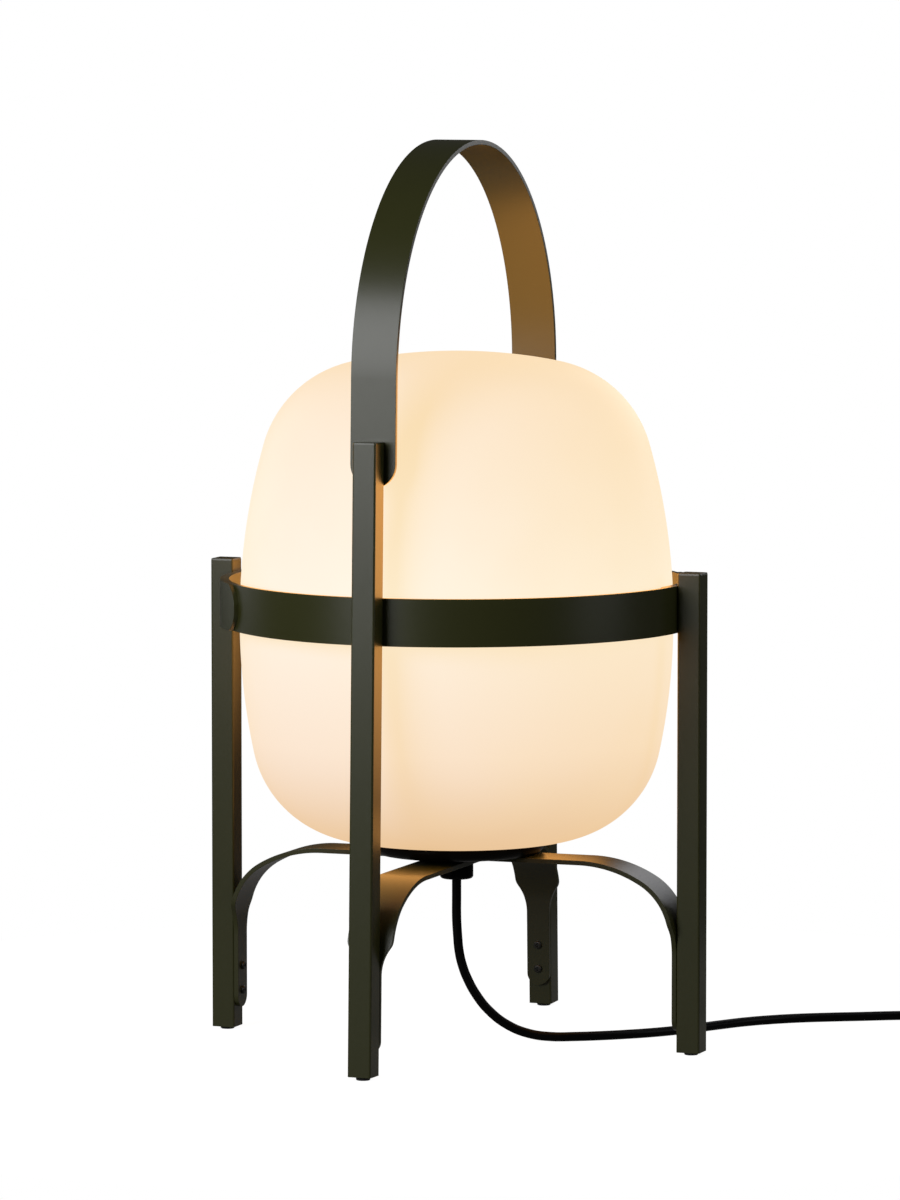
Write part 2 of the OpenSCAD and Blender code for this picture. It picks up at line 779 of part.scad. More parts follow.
// The rocker rests switched on, with its far end down, and turns about its two trunnions
module switch_rocker() {
    half_l = window_l / 2 - 1.2;
    w = window_w - 0.8;
    dip_r = 40;
    dip = dip_r - sqrt(dip_r * dip_r - half_l * half_l);
    crest = switch_h - pivot_z + 2;
    color(black) at_switch() translate([0, 0, pivot_z]) rotate([0, rocker_tilt, 0]) {
        across(w) polygon(concat(
            [[-half_l + 2, -2.5], [half_l - 2, -2.5], [half_l, crest - 3]],
            arc([0, crest - dip + dip_r], dip_r, asin(half_l / dip_r) - 90, -asin(half_l / dip_r) - 90, 10),
            [[-half_l, crest - 3]]));
        rotate([90, 0, 0]) translate([0, 0, -pivot_l / 2]) cylinder(r = pivot_r, h = pivot_l);
    }
}

module switch_reliefs() {
    color(black) at_switch() for (a = [0, 180]) rotate([0, 0, a]) translate([0, 0, switch_split])
        rotate([0, 90, 0]) {
            translate([0, 0, relief_root]) cylinder(r = relief_r, h = switch_l / 2 - relief_root);
            translate([0, 0, switch_l / 2]) cylinder(r1 = relief_r, r2 = relief_tip_r, h = relief_l);
        }
}

module switch_screws() {
    color(steel) at_switch() for (x = [-1, 1]) translate([x * switch_screw_at[0], x * switch_screw_at[1], 2])
        rotate([0, -90, 0]) screw(8);
}

// ---------------------------------------------------------------- plug

plug_at = [407, 30, 7];
plug_angle = 256;
plug_l = 34;
plug_w = 34;
plug_h = 14;
plug_relief = 22;
plug_relief_r = [3.7, 5.5];
plug_edge_r = 5;
plug_face_w = 28;
pin_gap = 19;
pin_r = 2;
pin_l = 19;
tang_r = 1.6;
tang_l = 10;

module at_plug() {
    translate(plug_at) rotate([0, 0, plug_angle]) children();
}

// Flat two-pin plug: the body widens from the cord, then narrows a little to its face
module plug_body() {
    face_x = plug_relief + plug_l;
    half = [[plug_relief - 2, 5], [plug_relief + 3, 7], [plug_relief + 13, plug_w / 2],
            [plug_relief + 23, plug_w / 2], [face_x, plug_face_w / 2]];
    color(black) at_plug() difference() {
        union() {
            intersection() {
                translate([0, 0, -plug_h / 2]) linear_extrude(plug_h)
                    polygon(concat(half, [for (q = reverse(half)) [q[0], -q[1]]]));
                translate([0, 0, -plug_h / 2]) along(4 * face_x)
                    polygon(soft_box(plug_w, plug_h, plug_edge_r, plug_edge_r));
            }
            rotate([0, 90, 0]) cylinder(r1 = plug_relief_r[0], r2 = plug_relief_r[1], h = plug_relief);
        }
        for (y = [-1, 1]) translate([face_x - tang_l, y * pin_gap / 2, 0]) rotate([0, 90, 0])
            cylinder(r = tang_r + 0.02, h = tang_l + 1);
    }
}

module plug_pins() {
    face_x = plug_relief + plug_l;
    color(steel) at_plug() for (y = [-1, 1]) translate([face_x, y * pin_gap / 2, 0]) rotate([0, 90, 0]) {
        cylinder(r = pin_r, h = pin_l);
        translate([0, 0, -tang_l]) cylinder(r = tang_r, h = tang_l);
    }
}

post_front();
post_rear();
post_left();
post_right();
post_caps();
foot_glides();
handle();
handle_screws();
ring_front_band();
ring_rear_band();
ring_screws();
strap_short();
strap_tall();
strap_screws();
base_dish();
glass_gasket();
globe();
threaded_nipple();
dish_lock_nut();
gland_nut();
cord_grommet();
lampholder_base();
lampholder_sleeve();
lampholder_contacts();
bulb_glass();
bulb_cap();
bulb_contact();
cord_lead();
cord_link();
cord_coil();
cord_tail();
coil_tie();
switch_base();
switch_cover();
switch_rocker();
switch_reliefs();
switch_screws();
plug_body();
plug_pins();
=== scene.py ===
"""Looks of the lantern table lamp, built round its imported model.

The lamp has four square posts, an arched carrying handle, a ring of two overlapping
bands, two crossing base straps and a lit opal glass globe on a black dish. Its mains cord
has a switch, a stored coil and a plug. Sizes in the classes are millimetres, and Form.mesh
turns them to metres. +Z is up and the origin is on the floor, under the middle of the lamp.
"""
import logging
import math
from dataclasses import dataclass, field
from enum import Enum
from typing import Callable, Iterable, Sequence

import bmesh
import bpy
from mathutils import Matrix, Vector


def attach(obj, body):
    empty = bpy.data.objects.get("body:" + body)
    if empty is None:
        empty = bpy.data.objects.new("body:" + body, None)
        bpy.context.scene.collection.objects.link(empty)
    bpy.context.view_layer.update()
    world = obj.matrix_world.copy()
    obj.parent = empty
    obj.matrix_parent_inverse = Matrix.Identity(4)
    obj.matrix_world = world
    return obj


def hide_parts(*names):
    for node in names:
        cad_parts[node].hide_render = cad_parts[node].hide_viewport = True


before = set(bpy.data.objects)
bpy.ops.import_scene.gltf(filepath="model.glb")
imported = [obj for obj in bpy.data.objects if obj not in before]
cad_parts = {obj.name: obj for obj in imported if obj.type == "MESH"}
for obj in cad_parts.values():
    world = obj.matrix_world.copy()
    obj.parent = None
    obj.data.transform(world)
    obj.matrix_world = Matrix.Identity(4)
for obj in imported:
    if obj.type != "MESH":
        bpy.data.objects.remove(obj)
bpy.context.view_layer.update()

log = logging.getLogger("lantern_lamp")

Tree = bpy.types.NodeTree
Socket = bpy.types.NodeSocket
Point2 = tuple[float, float]
Point3 = tuple[float, float, float]

MM = 0.001
UP = Vector((0, 0, 1))
# An edge stays sharp past this angle, in degrees, unless its piece has an angle of its own
CREASE = 35.0
# The sections of a strip's round end stop at this angle, in degrees, just short of its tip
TIP_TURN = 88.5


class Body(Enum):
    """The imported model's bodies."""

    LAMP = "lamp"
    ROCKER = "rocker"


# ------------------------------------------------------------------ small maths

def ramp(low: float, high: float, count: int) -> list[float]:
    """Evenly spaced numbers.

    Args:
        low: The first number.
        high: The last number.
        count: How many steps lie between them.

    Returns:
        count + 1 numbers.
    """
    return [low + (high - low) * i / count for i in range(count + 1)]


def smooth_step(share: float) -> float:
    """A share from 0 to 1, eased at both ends."""
    share = max(0.0, min(1.0, share))
    return share * share * (3 - 2 * share)


def polar(radius: float, degrees: float) -> Point2:
    """The point at a radius and an angle in degrees."""
    return radius * math.cos(math.radians(degrees)), radius * math.sin(math.radians(degrees))


def arc(centre: Sequence[float], radius: float, start: float, end: float, steps: int) -> list[Point2]:
    """Points along an arc.

    Args:
        centre: The middle of the arc's circle.
        radius: The arc's radius.
        start: Its first angle, in degrees.
        end: Its last angle, in degrees.
        steps: How many chords the arc has.

    Returns:
        steps + 1 points.
    """
    points = []
    for angle in ramp(start, end, steps):
        x, y = polar(radius, angle)
        points.append((centre[0] + x, centre[1] + y))
    return points


def level(outline: Iterable[Point2], z: float) -> list[Point3]:
    """An outline laid level at a height."""
    return [(x, y, z) for x, y in outline]


def upright(outline: Iterable[Point2], y: float) -> list[Point3]:
    """An outline of X and height, stood at a place along Y."""
    return [(x, y, z) for x, z in outline]


def rounded_square(half_x: float, half_y: float, corner: float, steps: int = 6) -> list[Point2]:
    """A rectangle with round corners about the origin, counter-clockwise.

    Args:
        half_x: Half of its size along X.
        half_y: Half of its size along Y.
        corner: The radius of its corners.
        steps: How many chords each corner has.

    Returns:
        Its points.
    """
    points = []
    for quarter, (side_x, side_y) in enumerate(((1, 1), (-1, 1), (-1, -1), (1, -1))):
        centre = (side_x * (half_x - corner), side_y * (half_y - corner))
        points += arc(centre, corner, quarter * 90, quarter * 90 + 90, steps)
    return points


def turn(degrees: float, axis: str = "Z") -> Matrix:
    """A rotation about one of the axes, in degrees."""
    return Matrix.Rotation(math.radians(degrees), 4, axis)


def shift(x: float = 0.0, y: float = 0.0, z: float = 0.0) -> Matrix:
    """A move, in millimetres."""
    return Matrix.Translation((x, y, z))


# ------------------------------------------------------------------ materials

def linear(hexa: str) -> tuple[float, float, float, float]:
    """Turns an sRGB hex colour, such as "3b3c31", to linear red, green, blue and alpha."""
    channels = [int(hexa[i:i + 2], 16) / 255 for i in (0, 2, 4)]
    return (*[c / 12.92 if c <= 0.04045 else ((c + 0.055) / 1.055) ** 2.4 for c in channels], 1.0)


def fresh_tree(owner: bpy.types.Material | bpy.types.World) -> Tree:
    """Empties the nodes of a material or a world.

    Args:
        owner: The material or world.

    Returns:
        Its node tree, with no node in it.
    """
    owner.use_nodes = True
    owner.node_tree.nodes.clear()
    return owner.node_tree


def add(tree: Tree, kind: str, inputs: dict | None = None, **settings: object) -> bpy.types.Node:
    """Adds one node with its settings and links.

    Args:
        tree: The node tree that takes the node.
        kind: The node's Blender type, such as "ShaderNodeBump".
        inputs: What each input holds, by name or number: a constant, or another node's output.
        **settings: The node's own properties.

    Returns:
        The new node.
    """
    made = tree.nodes.new(kind)
    for name, value in settings.items():
        setattr(made, name, value)
    for name, value in (inputs or {}).items():
        if isinstance(value, Socket):
            tree.links.new(value, made.inputs[name])
        else:
            made.inputs[name].default_value = value
    return made


def per_mm(size_mm: float) -> float:
    """The scale of a noise whose spots are about that many millimetres wide, in metres."""
    return 1 / (size_mm * MM)


@dataclass(frozen=True)
class Finish:
    """A surface as a maker orders it: its colour, its gloss and the grain that its process leaves."""

    name: str
    slot: str
    colour: str
    patch_colour: str
    roughness: float
    metallic: float = 0.0
    ior: float = 1.5
    specular: float = 0.5
    coat: float = 0.0
    coat_roughness: float = 0.1
    sheen: float = 0.0
    patch_mm: float = 40.0
    grain_mm: float = 0.8
    grain_depth_mm: float = 0.02
    grain_strength: float = 0.6
    roughness_swing: float = 0.06

    def coordinates(self, tree: Tree) -> Socket:
        """The surface's own coordinates, in metres, which hold still as a piece moves."""
        return add(tree, "ShaderNodeTexCoord").outputs["Object"]

    def patches(self, tree: Tree, place: Socket) -> Socket:
        """Slow, cloudy variation.

        Args:
            tree: The material's node tree.
            place: The surface's coordinates.

        Returns:
            A number between 0 and 1.
        """
        noise = add(tree, "ShaderNodeTexNoise", {
            "Vector": place, "Scale": per_mm(self.patch_mm), "Detail": 3.0, "Roughness": 0.55})
        return noise.outputs["Fac"]

    def grain(self, tree: Tree, place: Socket) -> Socket:
        """The fine texture of the surface.

        Args:
            tree: The material's node tree.
            place: The surface's coordinates.

        Returns:
            A number between 0 and 1.
        """
        noise = add(tree, "ShaderNodeTexNoise", {
            "Vector": place, "Scale": per_mm(self.grain_mm), "Detail": 2.0, "Roughness": 0.6})
        return noise.outputs["Fac"]

    def relief(self, tree: Tree, grain: Socket) -> Socket:
        """Lets the surface rise and fall with its grain.

        Args:
            tree: The material's node tree.
            grain: The grain.

        Returns:
            The normal.
        """
        bump = add(tree, "ShaderNodeBump", {
            "Height": grain, "Strength": self.grain_strength, "Distance": self.grain_depth_mm * MM})
        return bump.outputs["Normal"]

    def shader(self, tree: Tree) -> bpy.types.Node:
        """Builds the surface shader.

        Args:
            tree: The material's node tree.

        Returns:
            The shader node whose first output is the surface.
        """
        place = self.coordinates(tree)
        grain = self.grain(tree, place)
        colour = add(tree, "ShaderNodeMix", {
            "Factor": self.patches(tree, place), "A": linear(self.colour), "B": linear(self.patch_colour)},
            data_type="RGBA")
        gloss = add(tree, "ShaderNodeMapRange", {
            "Value": grain, "To Min": self.roughness - self.roughness_swing,
            "To Max": self.roughness + self.roughness_swing})
        return add(tree, "ShaderNodeBsdfPrincipled", {
            "Base Color": colour.outputs["Result"], "Roughness": gloss.outputs["Result"],
            "Metallic": self.metallic, "IOR": self.ior, "Specular IOR Level": self.specular,
            "Coat Weight": self.coat, "Coat Roughness": self.coat_roughness,
            "Sheen Weight": self.sheen, "Normal": self.relief(tree, grain)})

    def material(self) -> bpy.types.Material:
        """Makes the material of this finish, once.

        Returns:
            The material.
        """
        made = bpy.data.materials.get(self.name)
        if made is None:
            made = bpy.data.materials.new(self.name)
            tree = fresh_tree(made)
            add(tree, "ShaderNodeOutputMaterial", {"Surface": self.shader(tree).outputs[0]})
        return made


@dataclass(frozen=True)
class LitOpal(Finish):
    """Blown opal glass, satin etched outside and lit from within.

    The milk in the glass spreads the light to an almost even cream. How the light falls over the glass is
    painted into that glow as level bands: painted shade, deeper towards the bottom, where the glass turns
    away over the dish, and a little deeper at the top. A lens sees this cream as it is. What the glass
    throws on its neighbours is stronger and warmer, with more of it from the top and the bottom, and
    light_stops holds its strength by height.
    """

    grain_strength: float = 0.4
    bottom_colour: str = "e8c192"
    low_colour: str = "f8dcb6"
    middle_colour: str = "fdeac8"
    top_colour: str = "f8d9a8"
    warm_colour: str = "f8daa6"
    cloud_from: float = 0.45
    cloud_to: float = 0.75
    cloud_most: float = 0.35
    low_at: float = 0.22
    middle_at: float = 0.55
    low_m: float = 0.13
    high_m: float = 0.445
    light_colour: str = "ffb35e"
    soft_share: float = 0.4
    light_range: float = 10.0
    light_stops: tuple[Point2, ...] = ((0.0, 3.0), (0.12, 1.3), (0.4, 3.8), (1.0, 6.9))

    def bands(self, tree: Tree, place: Socket, stops: Sequence[tuple[float, Sequence[float]]]) -> Socket:
        """Colours in level bands that run into each other.

        Args:
            tree: The material's node tree.
            place: The surface's coordinates.
            stops: Each band's height, from the bottom of the glass, 0, to its top, 1, and its colour.

        Returns:
            The colour.
        """
        height = add(tree, "ShaderNodeMapRange", {
            "Value": add(tree, "ShaderNodeSeparateXYZ", {"Vector": place}).outputs["Z"],
            "From Min": self.low_m, "From Max": self.high_m})
        made = add(tree, "ShaderNodeValToRGB", {"Fac": height.outputs["Result"]})
        held = made.color_ramp.elements
        held[0].position, held[0].color = stops[0]
        held[1].position, held[1].color = stops[-1]
        for at, colour in stops[1:-1]:
            held.new(at).color = colour
        return made.outputs["Color"]

    def glow(self, tree: Tree, place: Socket) -> Socket:
        """The colour of the lit glass to a lens, with slow warm clouds where the milk is thin.

        Args:
            tree: The material's node tree.
            place: The surface's coordinates.

        Returns:
            The colour.
        """
        # Painted shade of the glow: the level bands are darker and warmer at the bottom and a little at the
        # top.
        cream = self.bands(tree, place, [
            (0.0, linear(self.bottom_colour)), (self.low_at, linear(self.low_colour)),
            (self.middle_at, linear(self.middle_colour)), (1.0, linear(self.top_colour))])
        clouds = add(tree, "ShaderNodeMapRange", {
            "Value": self.patches(tree, place), "From Min": self.cloud_from,
            "From Max": self.cloud_to, "To Max": self.cloud_most})
        warmed = add(tree, "ShaderNodeMix", {
            "Factor": clouds.outputs["Result"], "A": cream, "B": linear(self.warm_colour)},
            data_type="RGBA")
        return warmed.outputs["Result"]

    def cast(self, tree: Tree, place: Socket, ray: bpy.types.NodeOutputs) -> Socket:
        """The strength of the light on the neighbours: in full in their gloss, softer elsewhere.

        Args:
            tree: The material's node tree.
            place: The surface's coordinates.
            ray: The Light Path node's outputs.

        Returns:
            The strength.
        """
        greys = [(at, (*[watts / self.light_range] * 3, 1.0)) for at, watts in self.light_stops]
        full = add(tree, "ShaderNodeMath", {
            0: self.bands(tree, place, greys), 1: self.light_range}, operation="MULTIPLY").outputs[0]
        soft = add(tree, "ShaderNodeMath", {0: full, 1: self.soft_share}, operation="MULTIPLY").outputs[0]
        return add(tree, "ShaderNodeMix", {
            "Factor": ray["Is Glossy Ray"], "A": soft, "B": full}).outputs["Result"]

    def shader(self, tree: Tree) -> bpy.types.Node:
        """Builds satin glass that shows one light to a lens and casts another on its neighbours.

        Args:
            tree: The material's node tree.

        Returns:
            The shader node whose first output is the surface.
        """
        place = self.coordinates(tree)
        ray = add(tree, "ShaderNodeLightPath").outputs
        strength = add(tree, "ShaderNodeMix", {
            "Factor": ray["Is Camera Ray"], "A": self.cast(tree, place, ray), "B": 1.0})
        colour = add(tree, "ShaderNodeMix", {
            "Factor": ray["Is Camera Ray"], "A": linear(self.light_colour), "B": self.glow(tree, place)},
            data_type="RGBA")
        return add(tree, "ShaderNodeBsdfPrincipled", {
            "Base Color": linear(self.colour), "Roughness": self.roughness, "IOR": self.ior,
            "Specular IOR Level": self.specular, "Emission Color": colour.outputs["Result"],
            "Emission Strength": strength.outputs["Result"],
            "Normal": self.relief(tree, self.grain(tree, place))})

    def material(self) -> bpy.types.Material:
        """Makes the glass, whose light reaches its neighbours by their own rays alone.

        Returns:
            The material.
        """
        made = super().material()
        made.cycles.emission_sampling = "NONE"
        return made


@dataclass(frozen=True)
class HookTape(Finish):
    """Woven hook-and-loop tape: slanting rows of ribs, which catch the light as fine lines.

    The real ribs, rib_mm wide, are too fine to show, so coarseness divides the scale of the
    pattern, which comes out between two and three times as wide.
    """

    rib_mm: float = 1.0
    coarseness: float = 6.28

    def grain(self, tree: Tree, place: Socket) -> Socket:
        """The ribs.

        Args:
            tree: The material's node tree.
            place: The surface's coordinates.

        Returns:
            A number between 0 and 1.
        """
        waves = add(tree, "ShaderNodeTexWave", {
            "Vector": place, "Scale": per_mm(self.rib_mm) / self.coarseness, "Distortion": 0.8,
            "Detail": 1.0}, bands_direction="DIAGONAL")
        return waves.outputs["Fac"]


# Steel with a satin powder coat in olive bronze: dark and even, with a fine orange peel
# that spreads each highlight, so it turns brown beside the lit glass.
POWDER_COAT = Finish("olive_bronze_powder_coat", "bronze", "28290f", "2e2f15", 0.33, specular=0.33,
                     patch_mm=60, grain_mm=0.9, grain_depth_mm=0.022)
# Steel screws with a black oxide skin: nearly black, with a small dull highlight on the crown.
BLACK_SCREW = Finish("black_oxide_steel", "black_screws", "0d0d09", "17170f", 0.4, specular=0.35,
                     patch_mm=3, grain_mm=0.4, grain_depth_mm=0.01)
# Spun steel in semi-gloss black enamel: deep black, with a soft, clear and very faint reflection.
BLACK_ENAMEL = Finish("semi_gloss_black_enamel", "black_enamel", "060606", "090908", 0.3, specular=0.05,
                      patch_mm=30, grain_mm=1.2, grain_depth_mm=0.006)
# Injection-moulded thermoplastic: black with a fine spark-eroded grain that greys the light.
MOULDED_PLASTIC = Finish("moulded_black_plastic", "black_plastic", "141414", "1b1b1a", 0.48,
                         patch_mm=12, grain_mm=0.5, grain_depth_mm=0.03)
# Moulded rubber: matt, with a faint bloom.
BLACK_RUBBER = Finish("moulded_black_rubber", "black_rubber", "151515", "1e1d1c", 0.72, ior=1.52,
                      patch_mm=8, grain_mm=0.6, grain_depth_mm=0.03, sheen=0.15)
# Extruded PVC sheath: smooth deep black, with a long faint highlight and slight flow marks.
PVC_SHEATH = Finish("extruded_pvc_sheath", "cord_sheath", "050505", "080808", 0.34, ior=1.53,
                    specular=0.06, patch_mm=15, grain_mm=1.5, grain_depth_mm=0.02)
# Hook-and-loop tape, woven nylon: matt and ribbed.
TIE_TAPE = HookTape("woven_hook_and_loop_tape", "tie_fabric", "191919", "262524", 0.85, ior=1.53,
                    patch_mm=4, grain_depth_mm=0.15, sheen=0.4)
# Opal glass, blown and satin etched: it glows all over, with a soft sheen of the room on top.
OPAL = LitOpal("lit_satin_opal_glass", "opal_glass", "3b587a", "3b587a", 0.5, ior=1.52, specular=0.1,
               patch_mm=160, grain_mm=1.5, grain_depth_mm=0.01)
# Frosted bulb glass: matt white.
FROSTED_BULB = Finish("frosted_bulb_glass", "bulb_glass", "f3efe6", "ece6da", 0.5, ior=1.52,
                      patch_mm=25, grain_mm=0.6)
# Turned brass: warm metal with fine lathe marks.
TURNED_BRASS = Finish("turned_brass", "brass", "c8a45c", "b8924c", 0.3, metallic=1.0,
                      patch_mm=6, grain_mm=0.3, grain_depth_mm=0.01)
# Nickel-plated steel: bright, neutral metal with a slight haze.
NICKEL_PLATE = Finish("nickel_plated_steel", "bright_steel", "cfccc4", "bdbab2", 0.24, metallic=1.0,
                      patch_mm=5, grain_mm=0.3, grain_depth_mm=0.008)


# ------------------------------------------------------------------ meshes

def stand(name: str, data: bpy.types.ID) -> bpy.types.Object:
    """Puts a mesh, curve, lamp or camera in the scene.

    Args:
        name: The object's name.
        data: What it shows.

    Returns:
        The object.
    """
    made = bpy.data.objects.new(name, data)
    bpy.context.scene.collection.objects.link(made)
    return made


@dataclass
class Form:
    """The points and faces of a piece, in millimetres, before it becomes an object."""

    points: list[Vector] = field(default_factory=list)
    faces: list[tuple[int, ...]] = field(default_factory=list)

    def ring(self, points: Iterable[Sequence[float]]) -> list[int]:
        """Adds a ring of points.

        Args:
            points: The points.

        Returns:
            Their numbers.
        """
        first = len(self.points)
        self.points.extend(Vector(p) for p in points)
        return list(range(first, len(self.points)))

    def bridge(self, low: Sequence[int], high: Sequence[int]) -> None:
        """Joins two closed rings with four-sided faces.

        Args:
            low: The numbers of one ring's points.
            high: The numbers of the other's, as many.
        """
        for i, j in zip(range(len(low)), [*range(1, len(low)), 0]):
            self.faces.append((low[i], low[j], high[j], high[i]))

    def loft(self, rings: Iterable[Iterable[Sequence[float]]], loop: bool = False) -> "Form":
        """Adds a closed skin through rings of points.

        Args:
            rings: The rings, each with as many points.
            loop: Whether the last ring joins the first, as in a tyre, or both ends get a face.

        Returns:
            The form itself.
        """
        made = [self.ring(r) for r in rings]
        for low, high in zip(made, made[1:]):
            self.bridge(low, high)
        if loop:
            self.bridge(made[-1], made[0])
        else:
            self.faces.append(tuple(reversed(made[0])))
            self.faces.append(tuple(made[-1]))
        return self

    def lathe(self, profile: Sequence[Point2], steps: int) -> "Form":
        """Adds a turned shape: a closed profile of radius and height, spun about Z.

        Args:
            profile: The points of the profile, none of them on the axis.
            steps: How many flats the circle has.

        Returns:
            The form itself.
        """
        rings = []
        for angle in ramp(0, 360, steps)[:-1]:
            x, y = polar(1, angle)
            rings.append([(r * x, r * y, z) for r, z in profile])
        return self.loft(rings, loop=True)

    def spun_solid(self, profile: Sequence[Point2], steps: int) -> "Form":
        """Adds a turned solid, spun about Z, with a flat disc at both ends.

        Args:
            profile: Points of radius and height, from one end to the other.
            steps: How many flats the circle has.

        Returns:
            The form itself.
        """
        angles = ramp(0, 360, steps)[:-1]
        return self.loft([level((polar(r, a) for a in angles), z) for r, z in profile])

    def moved(self, matrix: Matrix) -> "Form":
        """A copy, moved by a matrix in millimetres."""
        return Form([matrix @ p for p in self.points], list(self.faces))

    def joined(self, other: "Form") -> "Form":
        """Adds another form's points and faces to this one.

        Args:
            other: The form that is added.

        Returns:
            The form itself.
        """
        first = len(self.points)
        self.points.extend(other.points)
        self.faces.extend(tuple(i + first for i in f) for f in other.faces)
        return self

    def mesh(self, name: str) -> bpy.types.Mesh:
        """Makes a mesh in metres, with its faces turned outwards.

        Args:
            name: The mesh's name.

        Returns:
            The mesh.
        """
        made = bpy.data.meshes.new(name)
        made.from_pydata([p * MM for p in self.points], [], self.faces)
        sheet = bmesh.new()
        sheet.from_mesh(made)
        bmesh.ops.recalc_face_normals(sheet, faces=sheet.faces)
        sheet.to_mesh(made)
        sheet.free()
        return made

    def piece(self, name: str, finish: Finish, nodes: Sequence[str] = (), body: Body = Body.LAMP,
              crease: float = CREASE, bevel_mm: float = 0.0) -> bpy.types.Object:
        """Makes the object, dresses it and puts it on its body.

        Args:
            name: The piece's name.
            finish: Its finish.
            nodes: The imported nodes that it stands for.
            body: The body that it rides on.
            crease: The angle, in degrees, past which an edge stays sharp.
            bevel_mm: The radius that sharp edges are rounded to, or 0.

        Returns:
            The object.
        """
        mesh = self.mesh(name)
        mesh.shade_smooth()
        mesh.set_sharp_from_angle(angle=math.radians(crease))
        mesh.materials.append(finish.material())
        made = stand(name, mesh)
        if bevel_mm:
            bevel = made.modifiers.new("rounded_edges", "BEVEL")
            bevel.width, bevel.segments = bevel_mm * MM, 3
            bevel.limit_method, bevel.angle_limit = "ANGLE", math.radians(crease)
            bevel.use_clamp_overlap = True
        made.modifiers.new("even_shading", "WEIGHTED_NORMAL").keep_sharp = True
        settle(made, finish, nodes, body)
        return made


def settle(made: bpy.types.Object, finish: Finish, nodes: Sequence[str], body: Body) -> None:
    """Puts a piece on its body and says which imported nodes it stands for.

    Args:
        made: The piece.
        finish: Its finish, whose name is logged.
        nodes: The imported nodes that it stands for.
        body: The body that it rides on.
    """
    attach(made, body.value)
    if nodes:
        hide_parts(*nodes)
    log.info("%s: %s, on %s, for %s", made.name, finish.name, body.value, ", ".join(nodes) or "no node")


def drill(made: bpy.types.Object, hole: Form) -> None:
    """Cuts a closed form out of a piece, for good.

    Args:
        made: The piece.
        hole: What is cut away, in millimetres.
    """
    cutter = stand("hole", hole.mesh("hole"))
    cut = made.modifiers.new("drilled", "BOOLEAN")
    cut.operation, cut.solver, cut.object = "DIFFERENCE", "EXACT", cutter
    made.modifiers.move(len(made.modifiers) - 1, 0)
    others = [m for m in made.modifiers if m != cut]
    shown = [m.show_viewport for m in others]
    for modifier in others:
        modifier.show_viewport = False
    bpy.context.view_layer.update()
    evaluated = made.evaluated_get(bpy.context.evaluated_depsgraph_get())
    drilled = bpy.data.meshes.new_from_object(evaluated)
    drilled.name = made.data.name
    drilled.set_sharp_from_angle(angle=math.radians(CREASE))
    made.modifiers.remove(cut)
    made.data = drilled
    for modifier, was in zip(others, shown):
        modifier.show_viewport = was
    bpy.data.objects.remove(cutter)


def dress(node: str, finish: Finish) -> None:
    """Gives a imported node, whose shape is right as it is, its finish.

    Args:
        node: The node's name.
        finish: Its finish.
    """
    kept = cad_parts[node]
    if not kept.material_slots:
        kept.data.materials.append(finish.material())
    for slot in kept.material_slots:
        slot.material = finish.material()
    log.info("%s: %s, kept from the packed model", node, finish.name)


@dataclass(frozen=True)
class Station:
    """One place along a strip: a point in the middle of its outer face, and two directions."""

    outer: Vector
    out: Vector
    across: Vector


@dataclass(frozen=True)
class FlatStrip:
    """Rolled flat steel strip with softened edges."""

    thickness: float = 3.0
    edge_r: float = 0.2
    edge_steps: int = 3
    edge_share: float = 0.9
    least_half: float = 0.06

    def section(self, place: Station, half: Callable[[Vector], float]) -> list[Vector]:
        """The ring of points round the strip at one station.

        Args:
            place: The station.
            half: Half of the strip's width at a point, which gives its outline.

        Returns:
            The ring.
        """
        inner = place.outer - self.thickness * place.out
        outer_reach = max(self.least_half, half(place.outer))
        inner_reach = max(self.least_half, half(inner))
        inner_depth = -self.thickness + self.edge_r
        ring = []
        for side, reach, depth, first in (
                (1, outer_reach, -self.edge_r, 90), (1, inner_reach, inner_depth, 0),
                (-1, inner_reach, inner_depth, -90), (-1, outer_reach, -self.edge_r, -180)):
            soft = min(self.edge_r, self.edge_share * reach)
            middle = side * (reach - soft)
            for x, y in arc((0, 0), 1, first, first - 90, self.edge_steps):
                ring.append(place.outer + (middle + soft * x) * place.across
                            + (depth + self.edge_r * y) * place.out)
        return ring

    def along(self, stations: Sequence[Station], half: Callable[[Vector], float]) -> Form:
        """The strip bent along its stations and cut to an outline.

        Args:
            stations: The places along it, in order.
            half: Half of the strip's width at a point.

        Returns:
            The closed form.
        """
        return Form().loft([self.section(s, half) for s in stations])


# ------------------------------------------------------------------ the lamp's sizes

@dataclass(frozen=True)
class Sizes:
    """Driving sizes of the lamp, in millimetres and degrees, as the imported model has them."""

    total_h: float = 580.0
    ring_r: float = 151.6
    ring_z: float = 285.0
    strip_w: float = 30.0
    strip_t: float = 3.0
    post_w: float = 15.5
    tall_h: float = 397.0
    short_h: float = 308.0
    lean: float = 1.5
    strap_z: float = 123.0
    dish_r: float = 57.0
    dish_h: float = 8.0
    strap_screws: Point2 = (26.0, 42.0)
    handle_screws: Point2 = (376.0, 388.0)
    ring_screw_step: float = 7.5

    @property
    def half_w(self) -> float:
        """Half of a strip's width, which is also the radius of its round ends."""
        return self.strip_w / 2

    @property
    def half_post(self) -> float:
        """Half of a post's width."""
        return self.post_w / 2

    @property
    def tall_face_r(self) -> float:
        """Radius of a tall post's inner face at the height of the ring."""
        return self.ring_r + self.half_w * math.tan(math.radians(self.lean))

    def tall_face(self, z: float) -> float:
        """Radius of a tall post's inner face at a height."""
        return self.tall_face_r + (self.ring_z - z) * math.tan(math.radians(self.lean))

    def leaned(self) -> Matrix:
        """The move that leans a shape with the tall posts."""
        return (shift(self.tall_face_r, 0, self.ring_z) @ turn(-self.lean, "Y")
                @ shift(-self.tall_face_r, 0, -self.ring_z))


